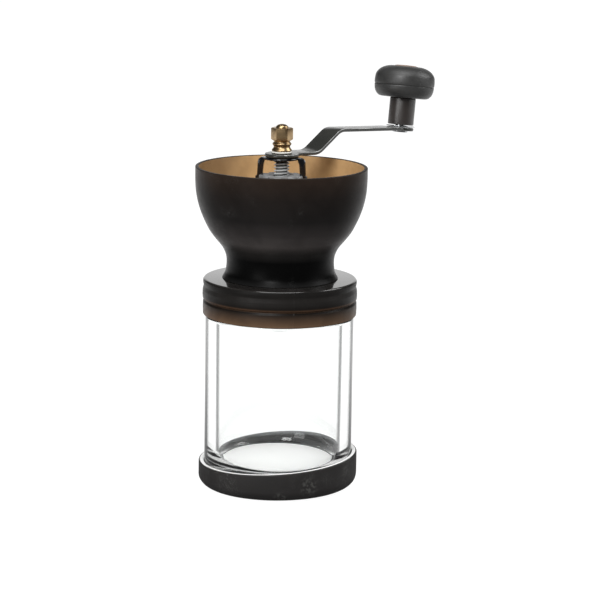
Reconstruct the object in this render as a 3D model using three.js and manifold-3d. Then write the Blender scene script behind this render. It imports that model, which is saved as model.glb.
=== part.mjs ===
// Hand-cranked coffee mill: clear jar in a rubber base ring, smoke-brown screw collar and hopper, ceramic cone
// burrs on a central shaft, bent crank and a turning knob. Millimetres, +Z up, origin on the mill's axis at the
// level that it stands on, crank along +X.
import * as THREE from "three";
import { mergeVertices } from "three/addons/utils/BufferGeometryUtils.js";
import Module from "manifold-3d";

const wasm = await Module();
wasm.setup();

// Clearances
const SEAT_GAP = 0.3; // between pieces that rest on each other
const RUNNING_GAP = 0.08; // radial, shaft in its bushes
const LOOSE_GAP = 0.25; // radial, pieces that drop over each other

// Overall sizes
const BOWL_HEIGHT = 51.9; // hopper's waist to its rim
const RIM_RADIUS = 46.5;
const CRANK_REACH = 104.2; // mill axis to the knob axis, at the arm's upper face
const KNOB_LEAN = 7; // degrees, the knob axis leans outwards

// Jar: thick pressed glass, a foot that stands through the base ring, and a threaded neck
const JAR_STEP = 3.5; // jar's side beyond its neck
const JAR_WALL = 6;
const JAR_SHOULDER_Z = 91.5;
const JAR_FLOOR_Z = 13.7; // upper face of the floor
const FOOT_STEP = 9.4; // jar's side beyond its foot
const MOUTH_PLAY = 5.4; // jar's mouth beyond the burr housing's flange
const NECK_WALL = 4.3;
const NECK_HEIGHT = 18.5; // shoulder to mouth

// Thread between jar and collar
const THREAD_PITCH = 4;
const THREAD_TURNS = 1.5;
const THREAD_START = 6.5; // above the jar's shoulder
const THREAD_BASE = 1.8;
const THREAD_CREST = 1;
const JAR_THREAD_HEIGHT = 1.2;
const COLLAR_THREAD_HEIGHT = 1.7;
const THREAD_PLAY = 1.2; // from the jar's thread out to the collar's bore

// Base ring
const BOOT_WALL = 2.8;
const BOOT_HEIGHT = 16.8;
const BOOT_LIP = 3; // thickness under the jar
const BOOT_ROUND = 8.5; // fillet at the table

// Collar
const COLLAR_SKIRT_WALL = 2.7;
const COLLAR_DROP = 17.2; // from the underside of the plate to the skirt's edge
const COLLAR_PLATE = 2.7;
const COLLAR_BOSS_HEIGHT = 1.6;
const BOSS_STEP = 0.55; // hopper's waist beyond the boss that it stands on
const GROOVE_DEPTH = 0.6;
const SEAL_THICKNESS = 2;

// Hopper: a bowl arc that meets a waisted neck arc
const HOPPER_WALL = 1.9;
const BOWL_TOP_DROP = 5.7; // straight band under the rim
const BOWL_LIFT = 9; // lower end of the bowl's arc above the waist
const WAIST_CURVE = 20; // radius of the neck's profile
const WAIST_LIFT = 7.1; // waist above the hopper's foot
const HOPPER_FLOOR = 2.4;
const RING_GAP = 0.35; // radial, bearing tower's ring in the hopper's neck

// Bearing tower
const SHAFT_RADIUS = 4;
const BUSH_WALL = 1.7;
const SLEEVE_WALL = 2.4;
const TOWER_TOP_DROP = 14.4; // sleeve's top below the rim
const SPIDER_HEIGHT = 5;
const SPIDER_RING_WALL = 2.6;
const SCREW_BOSS_RADIUS = 3.1;
const SPIDER_ARMS = 3;
const ARM_WEB = 4.4;
const BUSH_LENGTH = 9;
const BUSH_FLANGE = 1;
const LOWER_BUSH_LIFT = 7.2; // above the sleeve's lower end, room for the spring
const WASHER = 0.8;

// Adjusting nut
const NUT_RADIUS = 12.2;
const NUT_DISC = 4.8;
const NUT_HUB = 2.2;
const NUT_NOTCHES = 10;
const NOTCH_PLAY = 0.8; // notch wider than the leg in it

// Shaft
const SHAFT_THREAD_PITCH = 1.67;
const STUD_RADIUS = 2.6;
const STUD_LENGTH = 10;
const TAIL_PROUD = 1.2; // threaded lower end below the burr nut

// Stopper: disc under the crank with two legs that lock the adjusting nut
const STOPPER_GAP = 8.6; // from the nut's disc up to the stopper's disc
const STOPPER_PLATE = 1.1;
const STOPPER_DISC_RADIUS = 9.6;
const LEG_WIDTH = 3;
const LEG_INSET = 0.5; // leg's middle inside the nut's edge
const LEG_LEAN = 0.4; // shoulders closer together than the feet
const FOOT_REACH = 2.4;
const STOPPER_TURN = -60; // degrees from the crank

// Crank
const CRANK_THICKNESS = 1.9;
const CRANK_WIDTH = 12.2;
const CRANK_HUB_RADIUS = 9.2;
const CRANK_END_RADIUS = 7.6;
const RAMP_START = 24.5; // distance from the axis
const RAMP_LENGTH = 18.8;
const RAMP_RISE = 9.9;
const ARM_DROOP = 4.2; // degrees, upper arm falls outwards
const END_LENGTH = 10; // end plate, square to the knob axis, inboard of the knob
const BEND_RADIUS = 12;

// Cap nut
const CAP_FLATS = 10.3;
const CAP_HEX_HEIGHT = 6.9;
const CAP_NECK_HEIGHT = 5.5;
const CAP_DOME_RADIUS = 3.4;
const CAP_DOME_HEIGHT = 2;
const CAP_BEAD_RADIUS = 5.2;
const CAP_GROOVE_RADIUS = 4.5;
const CAP_TURN = 39.7; // degrees, the way one of its flats faces

// Knob, measured along its own leaning axis from the arm
const STEM_RADIUS = 7.35;
const STEM_LENGTH = 15.1;
const KNOB_RADIUS = 17.3;
const KNOB_BASE_RADIUS = 16.5;
const KNOB_HEIGHT = 17.8;
const KNOB_SEAM = 7; // parting line above the knob's underside
const KNOB_WALL = 2;
const SPINDLE_RADIUS = 3;
const PLUG_RADIUS = 6.6;
const PLUG_THICKNESS = 1.2;

// Burrs
const BURR_TEETH = 12;
const OUTER_BURR_RADIUS = 19;
const OUTER_BURR_HEIGHT = 18;
const BURR_MOUTH = 15;
const BURR_EXIT = 15.8;
const INNER_BURR_TOP = 8;
const INNER_BURR_BASE = 14.9;
const INNER_BURR_HEIGHT = 15.6;
const TOOTH_DEPTH = 0.9;
const BURR_STEP = 0.2; // inner burr's foot above the outer burr's
const CARRIER_WALL = 1.6;
const CARRIER_FLANGE = 2.2;
const CARRIER_FLANGE_RADIUS = 10.5;
const CARRIER_PROUD = 0.6; // carrier's top above the inner burr
const LUG_WIDTH = 3;
const LUG_REACH = 3.2;
const LUG_HEIGHT = 2.2;
const BURR_NUT_HEIGHT = 3.6;
const HOUSING_WALL = 1.9;
const HOUSING_LIP = 1.8;
const HOUSING_FLANGE = 2.6;
const FLANGE_EDGE = 1.1; // flange beyond the screw heads
const SCREWS = 3;
const SCREW_RADIUS = 1.3;
const SCREW_HEAD_RADIUS = 2.3;
const SCREW_HEAD_HEIGHT = 1.8;
const SPRING_WIRE = 0.55;
const SPRING_TURNS = 5;

// Resolution
const WIDE = 28; // facets round the large pieces
const SMALL = 16; // facets round the small pieces
const ROUND = 20; // facets of the shaft and the bores that it turns in

// Radii worked out from the sizes above, from the shaft and the burrs outwards
const threadRoot = SHAFT_RADIUS - 0.9;
const threadCrest = SHAFT_RADIUS + 0.2;
const driveFlats = 2 * threadRoot; // hexagon that drives stopper and crank
const burrFlats = 1.65 * SHAFT_RADIUS; // hexagon that drives the burr carrier
const tailRadius = 0.75 * SHAFT_RADIUS;
const carrierRadius = SHAFT_RADIUS + CARRIER_WALL;
const bushBore = SHAFT_RADIUS + RUNNING_GAP;
const bushRadius = bushBore + BUSH_WALL;
const sleeveBore = bushRadius + 0.1;
const sleeveRadius = sleeveBore + SLEEVE_WALL;
const burrHole = OUTER_BURR_RADIUS - 1.5; // hole in collar and hopper above the burrs
const housingRadius = OUTER_BURR_RADIUS + SEAT_GAP + HOUSING_WALL;
const screwCircle = housingRadius + SEAT_GAP + SCREW_HEAD_RADIUS;
const housingFlangeRadius = screwCircle + SCREW_HEAD_RADIUS + FLANGE_EDGE;
const spiderRadius = screwCircle + SCREW_BOSS_RADIUS;
const waistRadius = spiderRadius + RING_GAP + HOPPER_WALL;
const collarBossRadius = waistRadius - BOSS_STEP;
const neckRadius = housingFlangeRadius + MOUTH_PLAY + NECK_WALL;
const jarRadius = neckRadius + JAR_STEP;
const footRadius = jarRadius - FOOT_STEP;
const collarBore = neckRadius + JAR_THREAD_HEIGHT + THREAD_PLAY;
const collarRadius = collarBore + COLLAR_SKIRT_WALL;
const legFootRadius = NUT_RADIUS - LEG_INSET;
const legTopRadius = legFootRadius - LEG_LEAN;

// Levels worked out from the table upwards
const jarMouthZ = JAR_SHOULDER_Z + NECK_HEIGHT;
const sealZ = jarMouthZ + SEAT_GAP;
const plateZ = sealZ + SEAL_THICKNESS + SEAT_GAP; // underside of the collar's plate
const collarTopZ = plateZ + COLLAR_PLATE;
const hopperFootZ = collarTopZ + COLLAR_BOSS_HEIGHT + SEAT_GAP;
const waistZ = hopperFootZ + WAIST_LIFT;
const rimZ = waistZ + BOWL_HEIGHT;
const spiderZ = hopperFootZ + HOPPER_FLOOR + SEAT_GAP;
const towerTopZ = rimZ - TOWER_TOP_DROP;
const upperBushZ = towerTopZ + SEAT_GAP; // underside of the bush's flange
const thrustWasherZ = upperBushZ + BUSH_FLANGE + SEAT_GAP;
const nutZ = thrustWasherZ + WASHER + SEAT_GAP;
const nutTopZ = nutZ + NUT_HUB + NUT_DISC;
const stopperZ = nutTopZ + STOPPER_GAP;
const crankZ = stopperZ + STOPPER_PLATE + SEAT_GAP;
const crankTopZ = crankZ + CRANK_THICKNESS;
const hubWasherZ = crankTopZ + SEAT_GAP;
const capZ = hubWasherZ + WASHER + SEAT_GAP;
const housingZ = plateZ - SEAT_GAP - HOUSING_FLANGE; // underside of the burr housing's flange
const outerBurrZ = plateZ - SEAT_GAP - OUTER_BURR_HEIGHT;
const innerBurrZ = outerBurrZ + BURR_STEP;
const carrierZ = innerBurrZ - SEAT_GAP - CARRIER_FLANGE; // underside of the carrier's flange
const carrierTopZ = innerBurrZ + INNER_BURR_HEIGHT + CARRIER_PROUD;
const springSeatZ = carrierTopZ + SEAT_GAP;
const burrWasherZ = carrierZ - SEAT_GAP - WASHER;
const burrNutZ = burrWasherZ - SEAT_GAP - BURR_NUT_HEIGHT;
const tailZ = burrNutZ - TAIL_PROUD;
const sleeveZ = plateZ - 0.4; // lower end of the tower's sleeve
const lowerBushZ = sleeveZ + LOWER_BUSH_LIFT;

// Profile helpers: a corner is [radius, height, fillet], and a fillet is turned into an arc
const point = (x, y) => new THREE.Vector2(x, y);

function filletedOutline(corners, closed = true) {
  // A small fillet is one flat, a larger one has more steps.
  const stepsFor = (radius) => (radius < 2.5 ? 1 : radius < 6 ? 2 : 4);
  const points = [];
  const count = corners.length;
  corners.forEach(([x, y, fillet = 0], i) => {
    const here = point(x, y);
    const isEnd = !closed && (i === 0 || i === count - 1);
    if (fillet === 0 || isEnd) {
      points.push(here);
      return;
    }
    const before = corners[(i + count - 1) % count];
    const after = corners[(i + 1) % count];
    const toBefore = point(before[0], before[1]).sub(here);
    const toAfter = point(after[0], after[1]).sub(here);
    const roomBefore = toBefore.length() / (before[2] ? 2 : 1);
    const roomAfter = toAfter.length() / (after[2] ? 2 : 1);
    toBefore.normalize();
    toAfter.normalize();
    const halfAngle = Math.acos(THREE.MathUtils.clamp(toBefore.dot(toAfter), -1, 1)) / 2;
    const reach = Math.min(fillet / Math.tan(halfAngle), 0.98 * roomBefore, 0.98 * roomAfter);
    const radius = reach * Math.tan(halfAngle);
    const centre = toBefore.clone().add(toAfter).normalize();
    centre.multiplyScalar(radius / Math.sin(halfAngle)).add(here);
    const start = here.clone().addScaledVector(toBefore, reach).sub(centre);
    const end = here.clone().addScaledVector(toAfter, reach).sub(centre);
    const sweep = Math.atan2(start.cross(end), start.dot(end));
    const steps = stepsFor(fillet);
    for (let k = 0; k <= steps; k++) {
      const turned = start.clone().rotateAround(point(0, 0), (sweep * k) / steps);
      points.push(turned.add(centre));
    }
  });
  return points;
}

function arcPoints(centreX, centreY, radius, fromY, toY, side, steps) {
  // Points on a circle between two heights; side is +1 for its outer half and -1 for its inner half.
  const points = [];
  for (let k = 0; k <= steps; k++) {
    const y = fromY + ((toY - fromY) * k) / steps;
    const x = centreX + side * Math.sqrt(Math.max(0, radius ** 2 - (y - centreY) ** 2));
    points.push(point(x, y));
  }
  return points;
}

// Solid helpers
function solid(geometry) {
  const bare = geometry.index ? geometry.toNonIndexed() : geometry.clone();
  bare.deleteAttribute("normal");
  bare.deleteAttribute("uv");
  const merged = mergeVertices(bare, 1e-4);
  const vertProperties = merged.attributes.position.array;
  const triVerts = new Uint32Array(merged.index.array);
  const made = new wasm.Manifold(new wasm.Mesh({ numProp: 3, vertProperties, triVerts }));
  if (made.volume() > 0) return made;
  const flipped = triVerts.map((_, i) => triVerts[i % 3 === 1 ? i + 1 : i % 3 === 2 ? i - 1 : i]);
  return new wasm.Manifold(new wasm.Mesh({ numProp: 3, vertProperties, triVerts: flipped }));
}

function geometryOf(manifold) {
  const mesh = manifold.getMesh();
  const geometry = new THREE.BufferGeometry();
  geometry.setAttribute("position", new THREE.BufferAttribute(mesh.vertProperties, mesh.numProp));
  geometry.setIndex(new THREE.BufferAttribute(mesh.triVerts, 1));
  return geometry;
}

function revolve(points, facets = SMALL) {
  const onAxis = points[0].x < 1e-6;
  const profile = onAxis ? points : [...points, points[0]];
  return solid(new THREE.LatheGeometry(profile, facets).rotateX(Math.PI / 2));
}

function turned(corners, facets = SMALL) {
  const onAxis = corners[0][0] === 0;
  return revolve(filletedOutline(corners, !onAxis), facets);
}

function tube(inner, outer, low, high, facets = SMALL, edge = 0) {
  return turned(
    [
      [inner, low],
      [outer, low, edge],
      [outer, high, edge],
      [inner, high],
    ],
    facets,
  );
}

function rod(radius, low, high, facets = SMALL, edge = 0) {
  return turned([[0, low], [radius, low, edge], [radius, high, edge], [0, high]], facets);
}

function prism(shape, low, high, curveSegments = 12) {
  const settings = { depth: high - low, bevelEnabled: false, curveSegments };
  return solid(new THREE.ExtrudeGeometry(shape, settings).translate(0, 0, low));
}

function hexagon(flats, low, high, turn = 0) {
  const corner = flats / 2 / Math.cos(Math.PI / 6);
  const points = [];
  for (let k = 0; k < 6; k++) {
    const angle = (k * Math.PI) / 3 + Math.PI / 6 + THREE.MathUtils.degToRad(turn);
    points.push(point(corner * Math.cos(angle), corner * Math.sin(angle)));
  }
  return prism(new THREE.Shape(points), low, high);
}

function block(sizeX, sizeY, low, high, x = 0, y = 0) {
  const geometry = new THREE.BoxGeometry(sizeX, sizeY, high - low);
  return solid(geometry.translate(x, y, (low + high) / 2));
}

function aroundAxis(count, make, firstAngle = 0) {
  // The union of count copies of a solid, spaced evenly round the Z axis.
  let all = null;
  for (let k = 0; k < count; k++) {
    const copy = make().rotate([0, 0, firstAngle + (360 * k) / count]);
    all = all ? all.add(copy) : copy;
  }
  return all;
}

function gridSurface(rows) {
  // A closed body from rows of points: each row is a closed loop, and the first and last are capped.
  const vertices = rows.flat();
  const sides = rows[0].length;
  const index = [];
  for (let i = 0; i + 1 < rows.length; i++) {
    for (let j = 0; j < sides; j++) {
      const a = i * sides + j;
      const b = i * sides + ((j + 1) % sides);
      index.push(a, b, a + sides, b, b + sides, a + sides);
    }
  }
  const last = (rows.length - 1) * sides;
  for (let j = 1; j + 1 < sides; j++) {
    index.push(0, j + 1, j, last, last + j, last + j + 1);
  }
  const geometry = new THREE.BufferGeometry();
  const positions = new Float32Array(vertices.flatMap((v) => [v.x, v.y, v.z]));
  geometry.setAttribute("position", new THREE.BufferAttribute(positions, 3));
  geometry.setIndex(index);
  return solid(geometry);
}

function helicalRidge({ root, crest, base, top, pitch, turns, low, steps }) {
  // A thread: a trapezoid of the given root and crest radii, which fades out over its first and last steps.
  const rows = [];
  const count = Math.round(turns * steps);
  for (let k = 0; k <= count; k++) {
    const angle = (2 * Math.PI * k) / steps;
    const z = low + (pitch * k) / steps;
    const fade = Math.min(1, (k + 1) / 3, (count - k + 1) / 3);
    const tip = root + (crest - root) * fade;
    const section = [
      [root, -base / 2],
      [tip, (-top / 2) * fade],
      [tip, (top / 2) * fade],
      [root, base / 2],
    ];
    rows.push(
      section.map(
        ([r, dz]) => new THREE.Vector3(r * Math.cos(angle), r * Math.sin(angle), z + dz),
      ),
    );
  }
  return gridSurface(rows);
}

function coil({ radius, wire, low, high, turns, steps, sides }) {
  const rows = [];
  const count = Math.round(turns * steps);
  const rise = (high - low - 2 * wire) / count;
  for (let k = 0; k <= count; k++) {
    const angle = (2 * Math.PI * k) / steps;
    const row = [];
    for (let j = 0; j < sides; j++) {
      const around = (2 * Math.PI * j) / sides;
      const r = radius + wire * Math.cos(around);
      const z = low + wire + rise * k + wire * Math.sin(around);
      row.push(new THREE.Vector3(r * Math.cos(angle), r * Math.sin(angle), z));
    }
    rows.push(row);
  }
  return gridSurface(rows);
}

function toothedCone({ low, high, lowRadius, highRadius, depth, twist, levels }) {
  // A cone with slanting teeth: a depth above zero cuts into its side, one below zero stands out from it.
  const rows = [];
  const around = BURR_TEETH * 4;
  for (let i = 0; i <= levels; i++) {
    const t = i / levels;
    const row = [];
    for (let j = 0; j < around; j++) {
      const angle = (2 * Math.PI * j) / around;
      const phase = (j % 4) / 4;
      const tooth = depth * (phase === 0 ? 1 : 1 - phase) - depth;
      const r = lowRadius + (highRadius - lowRadius) * t + tooth;
      const turnedBy = angle + twist * t;
      const z = low + (high - low) * t;
      row.push(new THREE.Vector3(r * Math.cos(turnedBy), r * Math.sin(turnedBy), z));
    }
    rows.push(row);
  }
  return gridSurface(rows);
}

// Materials
const finish = (color, roughness, metalness = 0, opacity = 1) =>
  new THREE.MeshStandardMaterial({
    color,
    roughness,
    metalness,
    opacity,
    transparent: opacity < 1,
  });
const LOOKS = {
  glass: finish(0xeef3f2, 0.04, 0, 0.3),
  rubber: finish(0x1d1b1a, 0.75),
  smoke: finish(0x2b1e15, 0.3),
  seal: finish(0xd9d6cd, 0.6),
  black: finish(0x17161a, 0.35),
  ceramic: finish(0xece7dc, 0.5),
  nylon: finish(0xe6e2d8, 0.45),
  steel: finish(0xb4b6b8, 0.3, 1),
  grey: finish(0x8d8f91, 0.5),
  gloss: finish(0x141416, 0.15),
  armPaint: finish(0x2e2f31, 0.4, 0.3),
  brass: finish(0xb08a4c, 0.3, 1),
  softTouch: finish(0x2a292b, 0.7),
  plug: finish(0x4a3a30, 0.6),
};

function named(name, material, manifold) {
  const mesh = new THREE.Mesh(geometryOf(manifold), material);
  mesh.name = name;
  return mesh;
}

// Base ring and jar
function makeBoot() {
  const inner = jarRadius + SEAT_GAP;
  const outer = inner + BOOT_WALL;
  const ring = turned(
    [
      [footRadius + SEAT_GAP, 0],
      [outer, 0, BOOT_ROUND],
      [outer, BOOT_HEIGHT, 0.8],
      [inner, BOOT_HEIGHT, 0.8],
      [inner, BOOT_LIP, 2.6],
      [footRadius + SEAT_GAP, BOOT_LIP],
    ],
    WIDE,
  );
  return named("base_boot", LOOKS.rubber, ring);
}

function makeJar() {
  const bore = jarRadius - JAR_WALL;
  const neckBoreRadius = neckRadius - NECK_WALL;
  const body = turned(
    [
      [0, 0],
      [footRadius, 0, 0.8],
      [footRadius, BOOT_LIP + SEAT_GAP],
      [jarRadius, BOOT_LIP + SEAT_GAP, 3],
      [jarRadius, JAR_SHOULDER_Z, 2.5],
      [neckRadius, JAR_SHOULDER_Z + 1.5, 1],
      [neckRadius, jarMouthZ, 1],
      [neckBoreRadius, jarMouthZ, 1],
      [neckBoreRadius, JAR_SHOULDER_Z + 2, 3],
      [bore, JAR_SHOULDER_Z - 4, 3],
      [bore, JAR_FLOOR_Z, 2],
      [0, JAR_FLOOR_Z],
    ],
    WIDE,
  );
  const ridge = helicalRidge({
    root: neckRadius - 0.5,
    crest: neckRadius + JAR_THREAD_HEIGHT,
    base: THREAD_BASE,
    top: THREAD_CREST,
    pitch: THREAD_PITCH,
    turns: THREAD_TURNS,
    low: JAR_SHOULDER_Z + THREAD_START,
    steps: 22,
  });
  return named("glass_jar", LOOKS.glass, body.add(ridge));
}

function makeSeal() {
  const inner = neckRadius - NECK_WALL + 0.4;
  const ring = tube(inner, neckRadius, sealZ, sealZ + SEAL_THICKNESS, WIDE, 0.5);
  return named("seal_ring", LOOKS.seal, ring);
}

// Collar and hopper
const screwAngle = (k) => 180 / SPIDER_ARMS + (360 * k) / SCREWS;

function screwHoles(low, high, radius) {
  const hole = () => rod(radius, low, high, 12).translate([screwCircle, 0, 0]);
  return aroundAxis(SCREWS, hole, screwAngle(0));
}

function makeCollar() {
  const skirtZ = plateZ - COLLAR_DROP;
  const band = (collarTopZ - skirtZ) / 5;
  const upperGroove = collarTopZ - band;
  const lowerGroove = skirtZ + 2 * band;
  const grooved = collarRadius - GROOVE_DEPTH;
  const bossTopZ = collarTopZ + COLLAR_BOSS_HEIGHT;
  const shell = turned(
    [
      [burrHole, plateZ],
      [collarBore, plateZ, 1],
      [collarBore, skirtZ],
      [collarRadius - 0.3, skirtZ, 1.2],
      [collarRadius - 0.1, lowerGroove - GROOVE_DEPTH],
      [grooved, lowerGroove],
      [collarRadius, lowerGroove + GROOVE_DEPTH],
      [collarRadius, upperGroove - GROOVE_DEPTH],
      [grooved, upperGroove],
      [collarRadius - 0.2, upperGroove + GROOVE_DEPTH],
      [collarRadius - 0.4, collarTopZ, 1.6],
      [collarBossRadius, collarTopZ],
      [collarBossRadius, bossTopZ, 0.5],
      [burrHole, bossTopZ],
    ],
    WIDE,
  );
  const ridge = helicalRidge({
    root: collarBore + 0.5,
    crest: collarBore - COLLAR_THREAD_HEIGHT,
    base: THREAD_BASE,
    top: THREAD_CREST,
    pitch: THREAD_PITCH,
    turns: THREAD_TURNS,
    low: JAR_SHOULDER_Z + THREAD_START + THREAD_PITCH / 2,
    steps: 22,
  });
  const holes = screwHoles(plateZ - 1, bossTopZ + 1, SCREW_RADIUS + LOOSE_GAP);
  return named("screw_collar", LOOKS.smoke, shell.add(ridge).subtract(holes));
}

function makeHopper() {
  // The bowl's arc ends upright under the rim's straight band, and starts on the neck's arc.
  const bowlZ = rimZ - BOWL_TOP_DROP;
  const waistX = waistRadius + WAIST_CURVE;
  const meetZ = waistZ + BOWL_LIFT;
  const meetX = waistX - Math.sqrt(WAIST_CURVE ** 2 - BOWL_LIFT ** 2);
  const bowlCurve = ((RIM_RADIUS - meetX) ** 2 + (bowlZ - meetZ) ** 2) / (2 * (RIM_RADIUS - meetX));
  const bowlX = RIM_RADIUS - bowlCurve;
  // The inner corner lies on the line that halves the angle between the two arcs.
  const corner = point(meetX, meetZ);
  const neckNormal = corner.clone().sub(point(waistX, waistZ)).normalize();
  const inward = point(bowlX, bowlZ).sub(corner).normalize().add(neckNormal);
  const innerMeetZ = meetZ + (2 * HOPPER_WALL * inward.y) / inward.lengthSq();
  const innerBowl = bowlCurve - HOPPER_WALL;
  const innerWaist = WAIST_CURVE + HOPPER_WALL;
  const floorZ = hopperFootZ + HOPPER_FLOOR;
  const rimEdge = 0.45;
  const points = [
    point(burrHole, hopperFootZ),
    ...arcPoints(waistX, waistZ, WAIST_CURVE, hopperFootZ, meetZ, -1, 4),
    ...arcPoints(bowlX, bowlZ, bowlCurve, meetZ, bowlZ, 1, 5).slice(1),
    point(RIM_RADIUS, rimZ - rimEdge),
    point(RIM_RADIUS - rimEdge, rimZ),
    point(RIM_RADIUS - HOPPER_WALL + rimEdge, rimZ),
    point(RIM_RADIUS - HOPPER_WALL, rimZ - rimEdge),
    ...arcPoints(bowlX, bowlZ, innerBowl, bowlZ, innerMeetZ, 1, 5),
    ...arcPoints(waistX, waistZ, innerWaist, innerMeetZ, floorZ, -1, 4).slice(1),
    point(burrHole, floorZ),
  ];
  const holes = screwHoles(hopperFootZ - 1, floorZ + 1, SCREW_RADIUS + LOOSE_GAP);
  return named("hopper", LOOKS.smoke, revolve(points, WIDE).subtract(holes));
}

// Bearing tower and its bushes
function makeTower() {
  const spiderTop = spiderZ + SPIDER_HEIGHT;
  const sleeve = tube(sleeveBore, sleeveRadius, sleeveZ, towerTopZ, ROUND, 0.5);
  const ring = tube(spiderRadius - SPIDER_RING_WALL, spiderRadius, spiderZ, spiderTop, WIDE);
  const webLength = spiderRadius - SPIDER_RING_WALL / 2 - sleeveBore - SLEEVE_WALL / 2;
  const web = () =>
    block(webLength, ARM_WEB, spiderZ, spiderTop, sleeveBore + SLEEVE_WALL / 2 + webLength / 2);
  const boss = () => rod(SCREW_BOSS_RADIUS, spiderZ, spiderTop, 16).translate([screwCircle, 0, 0]);
  const bosses = aroundAxis(SCREWS, boss, screwAngle(0));
  const holes = screwHoles(spiderZ - 1, spiderTop + 1, SCREW_RADIUS + LOOSE_GAP);
  const whole = sleeve.add(ring).add(aroundAxis(SPIDER_ARMS, web)).add(bosses).subtract(holes);
  return named("bearing_tower", LOOKS.black, whole);
}

function makeUpperBush() {
  const bush = turned(
    [
      [bushBore, upperBushZ - BUSH_LENGTH],
      [bushRadius, upperBushZ - BUSH_LENGTH, 0.4],
      [bushRadius, upperBushZ],
      [sleeveRadius - 0.4, upperBushZ],
      [sleeveRadius - 0.4, upperBushZ + BUSH_FLANGE, 0.3],
      [bushBore, upperBushZ + BUSH_FLANGE],
    ],
    ROUND,
  );
  return named("upper_bush", LOOKS.nylon, bush);
}

function makeLowerBush() {
  const bush = tube(bushBore, bushRadius, lowerBushZ, lowerBushZ + BUSH_LENGTH, ROUND, 0.4);
  return named("lower_bush", LOOKS.nylon, bush);
}

function makeThrustWasher() {
  const inner = threadCrest + LOOSE_GAP;
  const washer = tube(inner, sleeveRadius, thrustWasherZ, thrustWasherZ + WASHER);
  return named("thrust_washer", LOOKS.nylon, washer);
}

// Burr set
function makeHousing() {
  const bore = housingRadius - HOUSING_WALL;
  const lipZ = outerBurrZ - SEAT_GAP;
  const ring = turned(
    [
      [BURR_EXIT + 1, lipZ - HOUSING_LIP],
      [housingRadius, lipZ - HOUSING_LIP, 0.6],
      [housingRadius, housingZ],
      [housingFlangeRadius, housingZ, 0.4],
      [housingFlangeRadius, housingZ + HOUSING_FLANGE],
      [bore, housingZ + HOUSING_FLANGE],
      [bore, lipZ],
      [BURR_EXIT + 1, lipZ],
    ],
    WIDE,
  );
  const holes = screwHoles(housingZ - 1, housingZ + HOUSING_FLANGE + 1, SCREW_RADIUS + LOOSE_GAP);
  return named("burr_housing", LOOKS.black, ring.subtract(holes));
}

function makeScrew(k) {
  const headZ = housingZ - SEAT_GAP;
  const tipZ = spiderZ + SPIDER_HEIGHT - 1;
  const angle = THREE.MathUtils.degToRad(screwAngle(k));
  const screw = turned(
    [
      [0, headZ - SCREW_HEAD_HEIGHT],
      [SCREW_HEAD_RADIUS, headZ - SCREW_HEAD_HEIGHT, 0.8],
      [SCREW_HEAD_RADIUS, headZ],
      [SCREW_RADIUS, headZ],
      [SCREW_RADIUS, tipZ, 0.5],
      [0, tipZ],
    ],
    12,
  );
  const cross = block(2.8, 0.7, headZ - 3, headZ - 0.9).add(block(0.7, 2.8, headZ - 3, headZ - 0.9));
  const placed = screw.subtract(cross).translate([
    screwCircle * Math.cos(angle),
    screwCircle * Math.sin(angle),
    0,
  ]);
  return named(`housing_screw_${k + 1}`, LOOKS.steel, placed);
}

function makeOuterBurr() {
  const body = rod(OUTER_BURR_RADIUS, outerBurrZ, outerBurrZ + OUTER_BURR_HEIGHT, WIDE, 0.5);
  const cutter = toothedCone({
    low: outerBurrZ - 1,
    high: outerBurrZ + OUTER_BURR_HEIGHT + 1,
    lowRadius: BURR_EXIT,
    highRadius: BURR_MOUTH,
    depth: -TOOTH_DEPTH,
    twist: 0.5,
    levels: 3,
  });
  return named("outer_burr", LOOKS.ceramic, body.subtract(cutter));
}

function makeInnerBurr() {
  const cone = toothedCone({
    low: innerBurrZ,
    high: innerBurrZ + INNER_BURR_HEIGHT,
    lowRadius: INNER_BURR_BASE,
    highRadius: INNER_BURR_TOP,
    depth: TOOTH_DEPTH,
    twist: -0.9,
    levels: 4,
  });
  const bore = rod(carrierRadius + LOOSE_GAP, innerBurrZ - 1, innerBurrZ + INNER_BURR_HEIGHT + 1);
  const slotLength = 2 * (carrierRadius + LUG_REACH + LOOSE_GAP);
  const slotTop = innerBurrZ + LUG_HEIGHT + SEAT_GAP;
  const slot = block(slotLength, LUG_WIDTH + 2 * LOOSE_GAP, innerBurrZ - 1, slotTop);
  return named("inner_burr", LOOKS.ceramic, cone.subtract(bore).subtract(slot));
}

function makeCarrier() {
  const flangeTop = innerBurrZ - SEAT_GAP;
  const stem = rod(carrierRadius, carrierZ, carrierTopZ, SMALL, 0.3);
  const flange = rod(CARRIER_FLANGE_RADIUS, carrierZ, flangeTop, SMALL, 0.5);
  const lugs = block(2 * (carrierRadius + LUG_REACH), LUG_WIDTH, carrierZ + 1, innerBurrZ + LUG_HEIGHT);
  const bore = hexagon(burrFlats + 2 * LOOSE_GAP, carrierZ - 1, carrierTopZ + 1);
  return named("burr_carrier", LOOKS.black, stem.add(flange).add(lugs).subtract(bore));
}

function makeBurrWasher() {
  const inner = tailRadius + LOOSE_GAP;
  return named("burr_washer", LOOKS.steel, tube(inner, 7, burrWasherZ, burrWasherZ + WASHER));
}

function makeBurrNut() {
  const top = burrWasherZ - SEAT_GAP;
  const body = hexagon(CAP_FLATS, burrNutZ, top);
  const bore = rod(tailRadius + LOOSE_GAP, burrNutZ - 1, top + 1);
  return named("burr_nut", LOOKS.steel, body.subtract(bore));
}

function makeSpringSeat() {
  const seat = tube(SHAFT_RADIUS + LOOSE_GAP, bushRadius - 0.1, springSeatZ, springSeatZ + WASHER);
  return named("spring_seat", LOOKS.steel, seat);
}

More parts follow.
